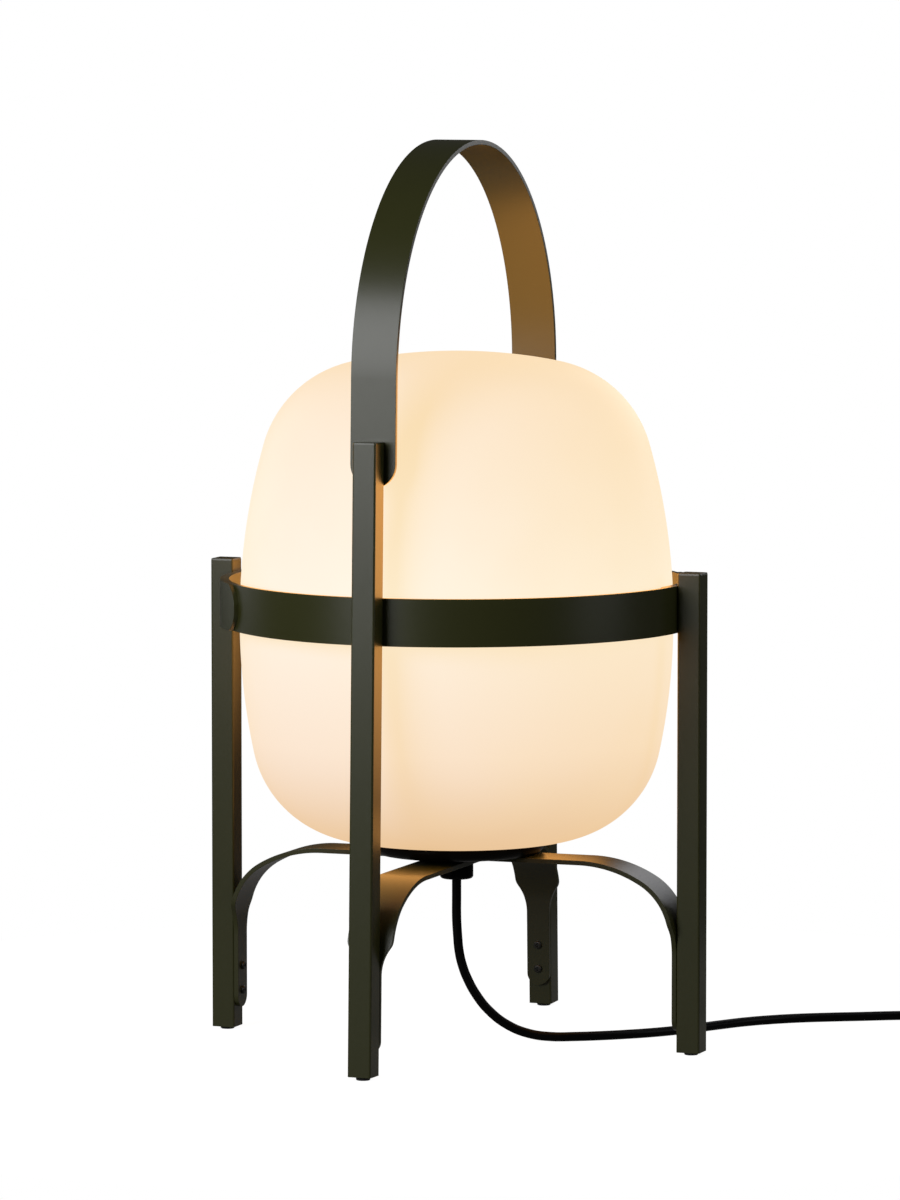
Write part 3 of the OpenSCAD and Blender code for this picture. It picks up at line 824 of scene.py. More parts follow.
class Post(Enum):
    """The four posts: direction about +Z in degrees, and whether the post is a tall one."""

    RIGHT = (0, False)
    REAR = (90, True)
    LEFT = (180, False)
    FRONT = (270, True)

    @property
    def angle(self) -> float:
        """Its direction about +Z."""
        return self.value[0]

    @property
    def tall(self) -> bool:
        """Whether it carries the handle."""
        return self.value[1]

    def place(self, sizes: Sizes) -> Matrix:
        """The move from a shape drawn along +X to this post."""
        return turn(self.angle) @ (sizes.leaned() if self.tall else Matrix.Identity(4))

    def face_r(self, sizes: Sizes) -> float:
        """Radius of its inner face before it leans."""
        return sizes.tall_face_r if self.tall else sizes.ring_r

    def middle(self, sizes: Sizes) -> Matrix:
        """The move from a shape drawn round +Z to this post's middle line."""
        return self.place(sizes) @ shift(self.face_r(sizes) + sizes.half_post)

    def top(self, sizes: Sizes) -> float:
        """Height of its top."""
        return sizes.tall_h if self.tall else sizes.short_h


# ------------------------------------------------------------------ frame

@dataclass
class Posts:
    """Four square tubes with thin lids on top and round glides below."""

    sizes: Sizes
    wall: float = 1.5
    corner: float = 1.3
    inner_corner_share: float = 1 / 3
    lid_h: float = 1.2
    lid_edge: float = 0.25
    lid_draft: float = 0.25
    lid_plug_h: float = 5.0
    plug_gap: float = 0.05
    plug_corner: float = 0.3
    glide_z: float = 2.0
    glide_plug_gap: float = 0.5
    glide_plug_h: float = 9.0
    pad_r: float = 4.5
    pad_edge: float = 0.7
    pad_rise: float = 1.5

    def tube(self, post: Post) -> Form:
        """A hollow square tube, open at both ends, which the lid and the glide close.

        Args:
            post: The post.

        Returns:
            The tube in its place.
        """
        half = self.sizes.half_post
        outer = rounded_square(half, half, self.corner)
        inner = rounded_square(half - self.wall, half - self.wall, self.corner * self.inner_corner_share)
        low, high = self.glide_z, post.top(self.sizes) - self.lid_h
        rings = [level(outer, low), level(outer, high), level(inner, high), level(inner, low)]
        return Form().loft(rings, loop=True).moved(post.middle(self.sizes))

    def plug(self, low: float, high: float) -> Form:
        """A square plug that fills a tube's bore.

        Args:
            low: Height of its lower end.
            high: Height of its upper end.

        Returns:
            The plug, about +Z.
        """
        half = self.sizes.half_post - self.wall - self.plug_gap
        outline = rounded_square(half, half, self.plug_corner)
        return Form().loft([level(outline, low), level(outline, high)])

    def lid(self, post: Post) -> Form:
        """The pressed-in lid of a post, its top edge softened so that it catches the light.

        Args:
            post: The post.

        Returns:
            The lid in its place.
        """
        half, top = self.sizes.half_post, post.top(self.sizes)
        under = top - self.lid_h
        rings = [level(rounded_square(half, half, self.corner), under)]
        for angle in ramp(0, 90, 4):
            x, y = polar(self.lid_edge, angle)
            inset = self.lid_draft + self.lid_edge - x
            edge = rounded_square(half - inset, half - inset, self.corner - inset)
            rings.append(level(edge, top - self.lid_edge + y))
        plug = self.plug(under - self.lid_plug_h, under)
        return Form().loft(rings).joined(plug).moved(post.middle(self.sizes))

    def glide(self, post: Post) -> Form:
        """The plug in the bottom of a post and the round pad under it.

        Args:
            post: The post.

        Returns:
            The glide in its place.
        """
        low = self.glide_z + self.glide_plug_gap
        leaning = self.plug(low, low + self.glide_plug_h).moved(post.middle(self.sizes))
        profile = arc((self.pad_r - self.pad_edge, self.pad_edge), self.pad_edge, -90, 0, 4)
        profile += [(self.pad_r, self.glide_z + self.pad_rise)]
        face = self.sizes.tall_face(0) if post.tall else self.sizes.ring_r
        place = turn(post.angle) @ shift(face + self.sizes.half_post)
        return leaning.joined(Form().spun_solid(profile, 32).moved(place))

    def build(self) -> None:
        """Makes the posts, their lids and their glides."""
        lids, glides = Form(), Form()
        for post in Post:
            name = f"post_{post.name.lower()}"
            self.tube(post).piece(f"{name}_tube", POWDER_COAT, [name])
            lids.joined(self.lid(post))
            glides.joined(self.glide(post))
        lids.piece("post_lids", POWDER_COAT, ["post_caps"])
        glides.piece("glides", BLACK_RUBBER, ["foot_glides"])


@dataclass
class Screws:
    """M3 pan-head screws with a cross recess, the underside of each head at its place."""

    sizes: Sizes
    head_r: float = 2.7
    head_h: float = 1.8
    crown_r: float = 0.9
    crown_turn: float = 70.0
    hub_r: float = 0.3
    shank_r: float = 1.5
    tip: float = 0.5
    recess_half: float = 1.5
    recess_slot: float = 0.4
    recess_corner: float = 0.1
    recess_over: float = 0.3
    recess_depth: float = 1.0
    recess_taper: float = 0.75
    long_reach: float = 9.0
    ring_bite: float = 4.0
    ring_gap: float = 0.05
    crease: float = 30.0

    def recess(self, arm: float) -> Form:
        """One slot of the cross that the driver fits, which tapers down from the head.

        Args:
            arm: The slot's direction, in degrees.

        Returns:
            What is cut out of a screw along +Z.
        """
        rings = []
        for depth, share in ((-self.recess_over, 1.0), (self.recess_depth, self.recess_taper)):
            outline = rounded_square(
                self.recess_half * share, self.recess_slot * share, self.recess_corner, 2)
            rings.append(level(outline, -self.head_h + depth))
        return Form().loft(rings).moved(turn(arm))

    def blank(self, reach: float) -> Form:
        """A screw without its recess, along +Z with its head below the origin.

        Args:
            reach: The length of its shank.

        Returns:
            The form.
        """
        rim = self.head_r - self.crown_r
        profile = [(self.hub_r, -self.head_h), (rim, -self.head_h)]
        profile += arc((rim, -self.crown_r), self.crown_r, -self.crown_turn, 0, 5)
        profile += [(self.head_r, 0), (self.shank_r, 0), (self.shank_r, reach - self.tip),
                    (self.shank_r - self.tip, reach)]
        return Form().spun_solid(profile, 32)

    def one(self, reach: float) -> Form:
        """A whole screw, along +X with its head below the origin.

        Args:
            reach: The length of its shank.

        Returns:
            The form, with the cross cut into its head.
        """
        blank = self.blank(reach).piece("screw_blank", BLACK_SCREW)
        for arm in (0, 90):
            drill(blank, self.recess(arm))
        made = Form([v.co / MM for v in blank.data.vertices],
                    [tuple(p.vertices) for p in blank.data.polygons])
        bpy.data.objects.remove(blank)
        return made.moved(turn(90, "Y"))

    def group(self, name: str, screw: Form, places: Iterable[Matrix]) -> None:
        """One piece for a set of the same screws.

        Args:
            name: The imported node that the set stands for.
            screw: One screw.
            places: Where each stands, from the origin along +X.
        """
        made = Form()
        for place in places:
            made.joined(screw.moved(place))
        made.piece(f"{name}_set", BLACK_SCREW, [name], crease=self.crease)

    def build(self) -> None:
        """Makes the sets of screws on the frame."""
        sizes = self.sizes
        long, short = self.one(self.long_reach), self.one(sizes.strip_t + self.ring_bite)
        self.group("strap_screws", long, [
            p.place(sizes) @ shift(p.face_r(sizes) - sizes.strip_t, 0, z)
            for p in Post for z in sizes.strap_screws])
        self.group("handle_screws", long, [
            p.place(sizes) @ shift(sizes.tall_face_r - sizes.strip_t, 0, z)
            for p in (Post.FRONT, Post.REAR) for z in sizes.handle_screws])
        ring = []
        for post in Post:
            layers = 1 if post.tall else 2
            radius = sizes.ring_r - layers * sizes.strip_t - self.ring_gap
            for side in (-1, 1):
                height = sizes.ring_z + side * sizes.ring_screw_step
                ring.append(turn(post.angle) @ shift(radius, 0, height))
        self.group("ring_screws", short, ring)


@dataclass
class Handle:
    """The carrying handle: one strip bent to an arch, screwed inside the two tall posts."""

    sizes: Sizes
    strip: FlatStrip
    end_z: float = 368.0
    end_turn: float = 89.0
    arch_steps: int = 120
    end_steps: int = 10

    def build(self) -> None:
        """Makes the handle."""
        sizes = self.sizes
        lean = math.radians(sizes.lean)
        arch_r = ((sizes.tall_face_r * math.cos(lean) + (sizes.ring_z - sizes.total_h) * math.sin(lean))
                  / (1 - math.sin(lean)))
        middle_z = sizes.total_h - arch_r
        round_z = self.end_z + sizes.half_w
        across = Vector((1, 0, 0))

        def half(point: Vector) -> float:
            """Half of the width: full above the middle of the round end."""
            drop = max(0.0, round_z - point.z)
            return math.sqrt(max(0.0, sizes.half_w ** 2 - drop ** 2))

        leg = []
        out = Vector((0, math.cos(lean), math.sin(lean)))
        for angle in ramp(self.end_turn, 0, self.end_steps):
            z = round_z - sizes.half_w * math.sin(math.radians(angle))
            leg.append(Station(Vector((0, sizes.tall_face(z), z)), out, across))
        arch = []
        for angle in ramp(sizes.lean, 180 - sizes.lean, self.arch_steps):
            y, z = polar(1, angle)
            place = Vector((0, arch_r * y, middle_z + arch_r * z))
            arch.append(Station(place, Vector((0, y, z)), across))
        flip = Matrix.Diagonal((1, -1, 1))
        far_leg = [Station(flip @ s.outer, flip @ s.out, across) for s in reversed(leg)]
        self.strip.along(leg + arch + far_leg, half).piece("carrying_handle", POWDER_COAT, ["handle"])


@dataclass
class Ring:
    """The ring round the globe: two bands that lie side by side at the left and right posts."""

    sizes: Sizes
    strip: FlatStrip
    start: float = 168.0
    end: float = 402.0
    swell_from: float = 224.0
    swell_to: float = 264.0
    step: float = 1.5
    end_steps: int = 10

    def band_r(self, angle: float) -> float:
        """Outer radius of the band, which swells out by its own thickness on its way round."""
        share = smooth_step((angle - self.swell_from) / (self.swell_to - self.swell_from))
        return self.sizes.ring_r - self.strip.thickness * (1 - share)

    def band(self) -> Form:
        """One band, with full-round ends cut square to its face.

        Returns:
            The band in the front band's place.
        """
        reach, ring_r = self.sizes.half_w, self.sizes.ring_r
        inset = math.degrees(math.asin(reach / ring_r))
        far_middle, near_middle = self.end - inset, self.start + inset

        def half(point: Vector) -> float:
            """Half of the width: less near the two ends.

            Args:
                point: A point on the band.

            Returns:
                Half of the width there.
            """
            width = reach
            for middle, side in ((far_middle, 1), (near_middle, -1)):
                out = Vector((*polar(1, middle), 0))
                past = side * point.dot(UP.cross(out))
                if past > 0 and point.dot(out) > 0:
                    width = min(width, math.sqrt(max(0.0, reach ** 2 - past ** 2)))
            return width

        round_off = [math.degrees(math.asin(reach * math.sin(math.radians(a)) / ring_r))
                     for a in ramp(0, TIP_TURN, self.end_steps)]
        count = round((far_middle - near_middle) / self.step)
        angles = [near_middle - a for a in reversed(round_off)]
        angles += ramp(near_middle, far_middle, count)[1:-1]
        angles += [far_middle + a for a in round_off]
        stations = []
        for angle in angles:
            out = Vector((*polar(1, angle), 0))
            stations.append(Station(self.band_r(angle) * out, out, UP))
        return self.strip.along(stations, half).moved(shift(0, 0, self.sizes.ring_z))

    def build(self) -> None:
        """Makes both bands; the rear one is the front one turned half round."""
        band = self.band()
        band.piece("ring_band_front", POWDER_COAT, ["ring_front_band"])
        band.moved(turn(180)).piece("ring_band_rear", POWDER_COAT, ["ring_rear_band"])


@dataclass
class BaseStraps:
    """Two crossing straps under the dish, which bend down to the feet of the posts."""

    sizes: Sizes
    strip: FlatStrip
    wide_r: float = 85.0
    tight_r: float = 42.0
    wide_turn: float = 30.0
    wide_steps: int = 16
    tight_steps: int = 26
    neck_z: float = 62.0
    neck_steps: int = 12
    foot_z: float = 15.0
    foot_steps: int = 9
    shoulder_z: float = 86.0
    shoulder_out_r: float = 8.0
    shoulder_in_r: float = 30.0
    hole_r: float = 5.05
    hole_over: float = 1.0

    def half(self, point: Vector) -> float:
        """Half of the strap's width: full above the shoulder, as narrow as the post below it.

        Args:
            point: A point on the strap.

        Returns:
            Half of the width there.
        """
        wide, narrow = self.sizes.half_w, self.sizes.half_post
        out_r, in_r = self.shoulder_out_r, self.shoulder_in_r
        bend = math.acos(1 - (wide - narrow) / (out_r + in_r))
        neck_z = self.shoulder_z - (out_r + in_r) * math.sin(bend)
        change_z = self.shoulder_z - out_r * math.sin(bend)
        z = point.z
        if z >= self.shoulder_z:
            return wide
        if z >= change_z:
            return wide - out_r + math.sqrt(out_r ** 2 - (z - self.shoulder_z) ** 2)
        if z >= neck_z:
            return narrow + in_r - math.sqrt(in_r ** 2 - (z - neck_z) ** 2)
        drop = max(0.0, self.foot_z + narrow - z)
        return math.sqrt(max(0.0, narrow ** 2 - drop ** 2))

    def leg_heights(self, bend_z: float) -> list[float]:
        """Heights of the stations on a straight leg, close together in its round foot.

        Args:
            bend_z: Height of the leg's upper end, where the tight bend ends.

        Returns:
            The heights, from the top down.
        """
        foot = self.foot_z + self.sizes.half_post
        turns = ramp(0, TIP_TURN, self.foot_steps)[1:]
        rounded = [foot - self.sizes.half_post * math.sin(math.radians(a)) for a in turns]
        return ramp(bend_z, self.neck_z, self.neck_steps)[1:] + [foot] + rounded

    def side(self, top: float, tilt: float, face: float) -> list[Point3]:
        """The strap's side view from its middle to a foot: a flat, two bends and a leg.

        Args:
            top: Height of its upper face.
            tilt: Lean of its legs, in degrees.
            face: Radius of its legs' outer face at the height of the ring.

        Returns:
            Radius and height of each place on the outer face, and the angle that it faces.
        """
        lean = math.radians(tilt)
        step = self.wide_r - self.tight_r
        tight_z = top - self.wide_r + step * math.cos(math.radians(self.wide_turn))
        end_z = tight_z + self.tight_r * math.sin(lean)
        end_x = face + (self.sizes.ring_z - end_z) * math.tan(lean)
        tight_x = end_x - self.tight_r * math.cos(lean)
        wide_x = tight_x - step * math.sin(math.radians(self.wide_turn))
        view = [(0.0, top, 90.0), (wide_x / 2, top, 90.0)]
        for angle in ramp(90, 90 - self.wide_turn, self.wide_steps):
            x, z = polar(self.wide_r, angle)
            view.append((wide_x + x, top - self.wide_r + z, angle))
        for angle in ramp(90 - self.wide_turn, tilt, self.tight_steps)[1:]:
            x, z = polar(self.tight_r, angle)
            view.append((tight_x + x, tight_z + z, angle))
        for z in self.leg_heights(end_z):
            view.append((face + (self.sizes.ring_z - z) * math.tan(lean), z, tilt))
        return view

    def strap(self, top: float, tilt: float, face: float) -> Form:
        """A strap in the XZ plane.

        Args:
            top: Height of its upper face.
            tilt: Lean of its legs, in degrees.
            face: Radius of its legs' outer face at the height of the ring.

        Returns:
            The form.
        """
        across = Vector((0, 1, 0))
        right = []
        for x, z, angle in self.side(top, tilt, face):
            out_x, out_z = polar(1, angle)
            right.append(Station(Vector((x, 0, z)), Vector((out_x, 0, out_z)), across))
        flip = Matrix.Diagonal((-1, 1, 1))
        left = [Station(flip @ s.outer, flip @ s.out, across) for s in reversed(right[1:])]
        return self.strip.along(left + right, self.half)

    def build(self) -> None:
        """Makes both straps and drills each for the threaded tube."""
        sizes = self.sizes
        tops = {"strap_short": sizes.strap_z, "strap_tall": sizes.strap_z - sizes.strip_t}
        forms = {"strap_short": self.strap(tops["strap_short"], 0.0, sizes.ring_r),
                 "strap_tall": self.strap(tops["strap_tall"], sizes.lean, sizes.tall_face_r).moved(turn(90))}
        for node, form in forms.items():
            made = form.piece(node.replace("strap", "base_strap"), POWDER_COAT, [node])
            low, high = tops[node] - sizes.strip_t - self.hole_over, tops[node] + self.hole_over
            drill(made, Form().spun_solid([(self.hole_r, low), (self.hole_r, high)], 40))


# ------------------------------------------------------------------ light

@dataclass
class Globe:
    """The opal glass globe: a chain of tangent arcs, with a short neck that sits in the dish."""

    widest_r: float = 139.0
    widest_z: float = 273.5
    top_z: float = 445.0
    low_z: float = 130.0
    wall: float = 3.0
    side_r: float = 413.0
    top_shoulder_r: float = 73.5
    top_cap_r: float = 336.0
    low_shoulder_r: float = 70.7
    low_cap_r: float = 1040.0
    neck_r: float = 46.0
    neck_z: float = 127.0
    pole_r: float = 0.4
    steps: int = 144
    arc_steps: tuple[int, ...] = (6, 28, 32, 28, 18)
    crease: float = 50.0

    @staticmethod
    def meet(a: Vector, a_r: float, b: Vector, b_r: float) -> Vector:
        """Where two circles meet, on the right of the line from a to b.

        Args:
            a: The middle of the first circle.
            a_r: Its radius.
            b: The middle of the second circle.
            b_r: Its radius.

        Returns:
            The meeting point.
        """
        gap = (b - a).length
        along = (a_r ** 2 - b_r ** 2 + gap ** 2) / (2 * gap)
        side = math.sqrt(a_r ** 2 - along ** 2)
        way = (b - a) / gap
        return a + along * way + side * Vector((way.y, -way.x))

    @staticmethod
    def angle_of(way: Vector) -> float:
        """The angle of a direction, in degrees."""
        return math.degrees(math.atan2(way.y, way.x))

    def face(self, inset: float, from_r: float) -> list[Point2]:
        """The globe's profile from the neck to the top.

        Args:
            inset: How far it lies inside the outer face.
            from_r: The radius that it starts at.

        Returns:
            Points of radius and height.
        """
        side_r, top_r, low_r = self.side_r, self.top_cap_r, self.low_cap_r
        side = Vector((self.widest_r - side_r, self.widest_z))
        top = Vector((0, self.top_z - top_r))
        low = Vector((0, self.low_z + low_r))
        top_bend = self.meet(top, top_r - self.top_shoulder_r, side, side_r - self.top_shoulder_r)
        low_bend = self.meet(side, side_r - self.low_shoulder_r, low, low_r - self.low_shoulder_r)
        turns = [-math.degrees(math.acos(from_r / (low_r - inset))),
                 self.angle_of(low_bend - low), self.angle_of(low_bend - side),
                 self.angle_of(top_bend - side), self.angle_of(top_bend - top),
                 math.degrees(math.acos(self.pole_r / (top_r - inset)))]
        circles = ((low, low_r), (low_bend, self.low_shoulder_r), (side, side_r),
                   (top_bend, self.top_shoulder_r), (top, top_r))
        points: list[Point2] = []
        for (centre, radius), start, end, steps in zip(circles, turns, turns[1:], self.arc_steps):
            points += arc(centre, radius - inset, start, end, steps)[1 if points else 0:]
        return points

    def build(self) -> None:
        """Makes the glass, with its inner face."""
        outer = [(self.neck_r, self.neck_z)] + self.face(0, self.neck_r)
        inside_r = self.neck_r - self.wall
        inner = [(inside_r, self.neck_z)] + self.face(self.wall, inside_r)
        glass = Form().lathe(outer + inner[::-1], self.steps)
        glass.piece("opal_globe", OPAL, ["globe"], crease=self.crease)


@dataclass
class Fittings:
    """The black dish and gland nut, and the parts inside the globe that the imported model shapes."""

    sizes: Sizes
    edge_r: float = 7.0
    wall: float = 2.5
    rim_r: float = 0.6
    seat_r: float = 30.0
    hole_r: float = 5.05
    gland_r: float = 10.75
    gland_z: float = 106.0
    gland_edge: float = 2.0
    gland_chamfer: float = 0.3
    cord_r: float = 3.0
    bush_h: float = 3.8
    bush_mouth: float = 0.4
    bush_chamfer: float = 0.3
    bush_gap: float = 0.05
    crease: float = 50.0

    def dish(self) -> Form:
        """The dish: a flat floor, a round edge and a rolled rim.

        Returns:
            The form.
        """
        low, radius = self.sizes.strap_z, self.sizes.dish_r
        rim_z = low + self.sizes.dish_h - self.rim_r
        corner = (radius - self.edge_r, low + self.edge_r)
        profile = [(self.hole_r, low), (self.seat_r, low)]
        profile += arc(corner, self.edge_r, -90, 0, 12)
        profile += arc((radius - self.rim_r, rim_z), self.rim_r, 0, 90, 4)
        profile += arc((radius - self.wall + self.rim_r, rim_z), self.rim_r, 90, 180, 4)
        profile += arc(corner, self.edge_r - self.wall, 0, -90, 8)
        profile += [(self.hole_r, low + self.wall)]
        return Form().lathe(profile, 128)

    def gland(self) -> Form:
        """The gland nut under the straps, with a rounded lower edge.

        Returns:
            The form.
        """
        top = self.sizes.strap_z - 2 * self.sizes.strip_t
        corner = (self.gland_r - self.gland_edge, self.gland_z + self.gland_edge)
        profile = [(self.hole_r, self.gland_z)]
        profile += arc(corner, self.gland_edge, -90, 0, 8)
        profile += [(self.gland_r, top - self.gland_chamfer), (self.gland_r - self.gland_chamfer, top),
                    (self.hole_r, top)]
        return Form().lathe(profile, 64)

    def bush(self) -> Form:
        """The rubber bush between the nut and the cord.

        Returns:
            The form.
        """
        low, high = self.gland_z, self.gland_z + self.bush_h
        outer = self.hole_r - self.bush_gap
        profile = [(self.cord_r, low + self.bush_mouth), (self.cord_r + self.bush_mouth, low),
                   (self.hole_r - self.bush_chamfer, low), (outer, low + self.bush_chamfer),
                   (outer, high), (self.cord_r, high)]
        return Form().lathe(profile, 48)

    def build(self) -> None:
        """Makes the visible fittings and dresses the hidden ones."""
        self.dish().piece("black_dish", BLACK_ENAMEL, ["base_dish"], crease=self.crease)
        self.gland().piece("cord_gland_nut", BLACK_ENAMEL, ["gland_nut"], crease=self.crease)
        self.bush().piece("cord_bush", BLACK_RUBBER, ["cord_grommet"])
        kept = {"glass_gasket": BLACK_RUBBER, "threaded_nipple": TURNED_BRASS, "dish_lock_nut": TURNED_BRASS,
                "lampholder_base": MOULDED_PLASTIC, "lampholder_sleeve": MOULDED_PLASTIC,
                "lampholder_contacts": TURNED_BRASS, "bulb_glass": FROSTED_BULB,
                "bulb_cap": NICKEL_PLATE, "bulb_contact": NICKEL_PLATE}
        for node, finish in kept.items():
            dress(node, finish)


# ------------------------------------------------------------------ mains cord

# Places along the middle of the cord, listed one by one: from the gland to the switch, from the
# switch to the coil and from the coil to the plug.
LEAD_ROUTE = [
    (0, 0, 106), (0, 0, 94), (0, 0, 81), (0.6, 0.2, 69), (1.6, 0.6, 58), (3.6, 1.3, 49),
    (6.4, 2.4, 41), (12, 4.5, 30), (20, 7.4, 19.5), (31, 11.5, 10.5), (44, 16, 5),
    (58, 20.5, 3.1), (72, 27, 3), (86, 36, 3), (99, 46.5, 3), (112, 59, 3), (124, 74, 3),
    (134, 90, 3), (144, 107, 3), (154, 123, 3), (167, 138, 3), (182, 151, 3), (200, 162.5, 3),
    (219, 173, 3), (238, 184, 3), (251, 190, 3), (265, 193, 3.4), (280, 192, 5),
    (294.5, 187.4, 6.8), (300.8, 184.5, 7)]
LINK_ROUTE = [
    (393.2, 141.5, 7), (398.7, 139, 7), (406.5, 132.5, 6.2), (412, 123, 5), (414.9, 112, 4.1),
    (415.4, 106, 3.9)]
TAIL_ROUTE = [
    (415.4, 82, 10.4), (415, 70, 9.6), (413.5, 58, 8.2), (411, 46, 7.2), (408.4, 35.6, 7), (407, 30, 7)]


@dataclass
class Coil:
    """The stored coil: the turns spiral in on the floor and out again on top of themselves."""

    middle: Point2 = (373.0, 94.0)
    turns: int = 5
    pitch: float = 6.7
    layer: float = 6.5
    low_z: float = 3.9
    mean_r: float = 34.0
    half_climb: float = 0.25
    rings: int = 24
    cord_d: float = 6.0

    @property
    def inner_r(self) -> float:
        """Radius of the innermost turn's middle line."""
        return self.mean_r - self.turns / 4 * self.pitch

    @property
    def outer_r(self) -> float:
        """Radius of the outermost turn's middle line."""
        return self.inner_r + self.turns / 2 * self.pitch

    def point(self, t: float) -> Point3:
        """The middle of the cord, clockwise from above.

        Args:
            t: How many turns it has made.

        Returns:
            Its place.
        """
        past = abs(t - self.turns / 2)
        eased = past
        if past < self.half_climb:
            eased = past * past / self.half_climb / 2 + self.half_climb / 2
        x, y = polar(self.inner_r + self.pitch * eased, -360 * t)
        climb = smooth_step((t - self.turns / 2 + self.half_climb) / self.half_climb / 2)
        return self.middle[0] + x, self.middle[1] + y, self.low_z + self.layer * climb

    def route(self) -> list[Point3]:
        """The whole route of the coil, with its straight ends.

        Returns:
            The points of the cord's middle line.
        """
        side = self.middle[0] + self.outer_r
        turns = [self.point(i / self.rings) for i in range(self.turns * self.rings + 1)]
        return ([(side, self.middle[1] + self.cord_d, self.low_z)] + turns
                + [(side, self.middle[1] - self.cord_d, self.low_z + self.layer)])


@dataclass(frozen=True)
class Ribs:
    """The ribs of a strain relief, each a crest and a groove along the cord."""

    start: float
    pitch: float
    crest: Point2
    groove: Point2
    depth: float
    least_r: float
    count: int = 6

    def profile(self, cone: Callable[[float], float]) -> list[Point2]:
        """The profile of the ribs.

        Args:
            cone: The radius of the crests at a place along the cord.

        Returns:
            Points of radius and place along the cord.
        """
        points = []
        for i in range(self.count):
            for shares, drop in ((self.crest, 0.0), (self.groove, self.depth)):
                for share in shares:
                    x = self.start + (i + share) * self.pitch
                    points.append((max(self.least_r, cone(x) - drop), x))
        return points


@dataclass
class MainsCord:
    """The mains cord: the lead from the gland to the switch, and the supply end to the plug."""

    coil: Coil = field(default_factory=Coil)
    diameter: float = 6.0
    through_switch: float = 102.0

    def curve(self, name: str, route: Sequence[Sequence[float]], nodes: Sequence[str]) -> bpy.types.Object:
        """A smooth round cord along a route.

        Args:
            name: The piece's name.
            route: The points of its middle line, in millimetres.
            nodes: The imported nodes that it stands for.

        Returns:
            The curve object.
        """
        line = bpy.data.curves.new(name, "CURVE")
        line.dimensions = "3D"
        line.bevel_depth, line.bevel_resolution = self.diameter / 2 * MM, 5
        line.resolution_u, line.use_fill_caps = 6, True
        spline = line.splines.new("BEZIER")
        spline.bezier_points.add(len(route) - 1)
        for knot, place in zip(spline.bezier_points, route):
            knot.co = Vector(place) * MM
            knot.handle_left_type = knot.handle_right_type = "AUTO"
        line.materials.append(PVC_SHEATH.material())
        made = stand(name, line)
        settle(made, PVC_SHEATH, nodes, Body.LAMP)
        return made

    @staticmethod
    def length(route: Sequence[Sequence[float]]) -> float:
        """The length of a route, in metres."""
        return sum((Vector(b) - Vector(a)).length for a, b in zip(route, route[1:])) * MM

    def build(self, switch: "CordSwitch", plug: "Plug") -> None:
        """Makes the two cords with the switch, the tie and the plug on them.

        Args:
            switch: The switch between the two.
            plug: The plug at the far end.
        """
        lead = self.curve("cord_to_switch", LEAD_ROUTE, ["cord_lead"])
        on_lead = switch.build()
        self.length(LEAD_ROUTE)
        route = LINK_ROUTE + self.coil.route() + TAIL_ROUTE
        supply = self.curve("cord_to_plug", route, ["cord_link", "cord_coil", "cord_tail"])
        on_supply = [CoilTie(self.coil).build(), *plug.build()]
        self.length(route)
        whole = self.length(LEAD_ROUTE) + self.length(route) + self.through_switch * MM
        log.info("mains cord: %.3f m in all, %.3f m of it to the switch", whole, self.length(LEAD_ROUTE))


@dataclass
class CoilTie:
    """The hook-and-loop tape round the bundle of turns, with its end lapped over on top."""

    coil: Coil
    angle: float = 150.0
    width: float = 12.0
    thickness: float = 0.6
    corner: float = 2.6
    gap_inside: float = 1.3
    gap_outside: float = 0.9
    gap_above: float = 0.1
    lap: float = 11.0
    lap_thickness: float = 0.48
    lap_slope: float = 0.6
    lap_inset: float = 0.5
    crease: float = 50.0

    def build(self) -> bpy.types.Object:
        """Makes the tie.

        Returns:
            The tie's object.
        """
        coil, cord_r = self.coil, self.coil.cord_d / 2
        low = coil.inner_r - cord_r - self.gap_inside
        high = coil.outer_r + cord_r + self.gap_outside
        top = coil.low_z + coil.layer + cord_r + self.gap_above
        half_x, half_z = (high - low) / 2, (top + self.thickness) / 2
        outer = rounded_square(half_x, half_z, self.corner, 5)
        inner = rounded_square(
            half_x - self.thickness, half_z - self.thickness, self.corner - self.thickness, 5)
        side = self.width / 2
        band = Form().loft([upright(outer, -side), upright(outer, side), upright(inner, side),
                            upright(inner, -side)], loop=True)
        half_lap, lap_z = self.lap / 2, half_z + self.lap_thickness
        end = [(half_lap, half_z), (half_lap - self.lap_slope, lap_z), (self.lap_slope - half_lap, lap_z),
               (-half_lap, half_z)]
        lap_side = side - self.lap_inset
        band.joined(Form().loft([upright(end, -lap_side), upright(end, lap_side)]))
        place = shift(*coil.middle) @ turn(self.angle) @ shift((low + high) / 2, 0, half_z)
        return band.moved(place).piece("coil_tie_tape", TIE_TAPE, ["coil_tie"], crease=self.crease)


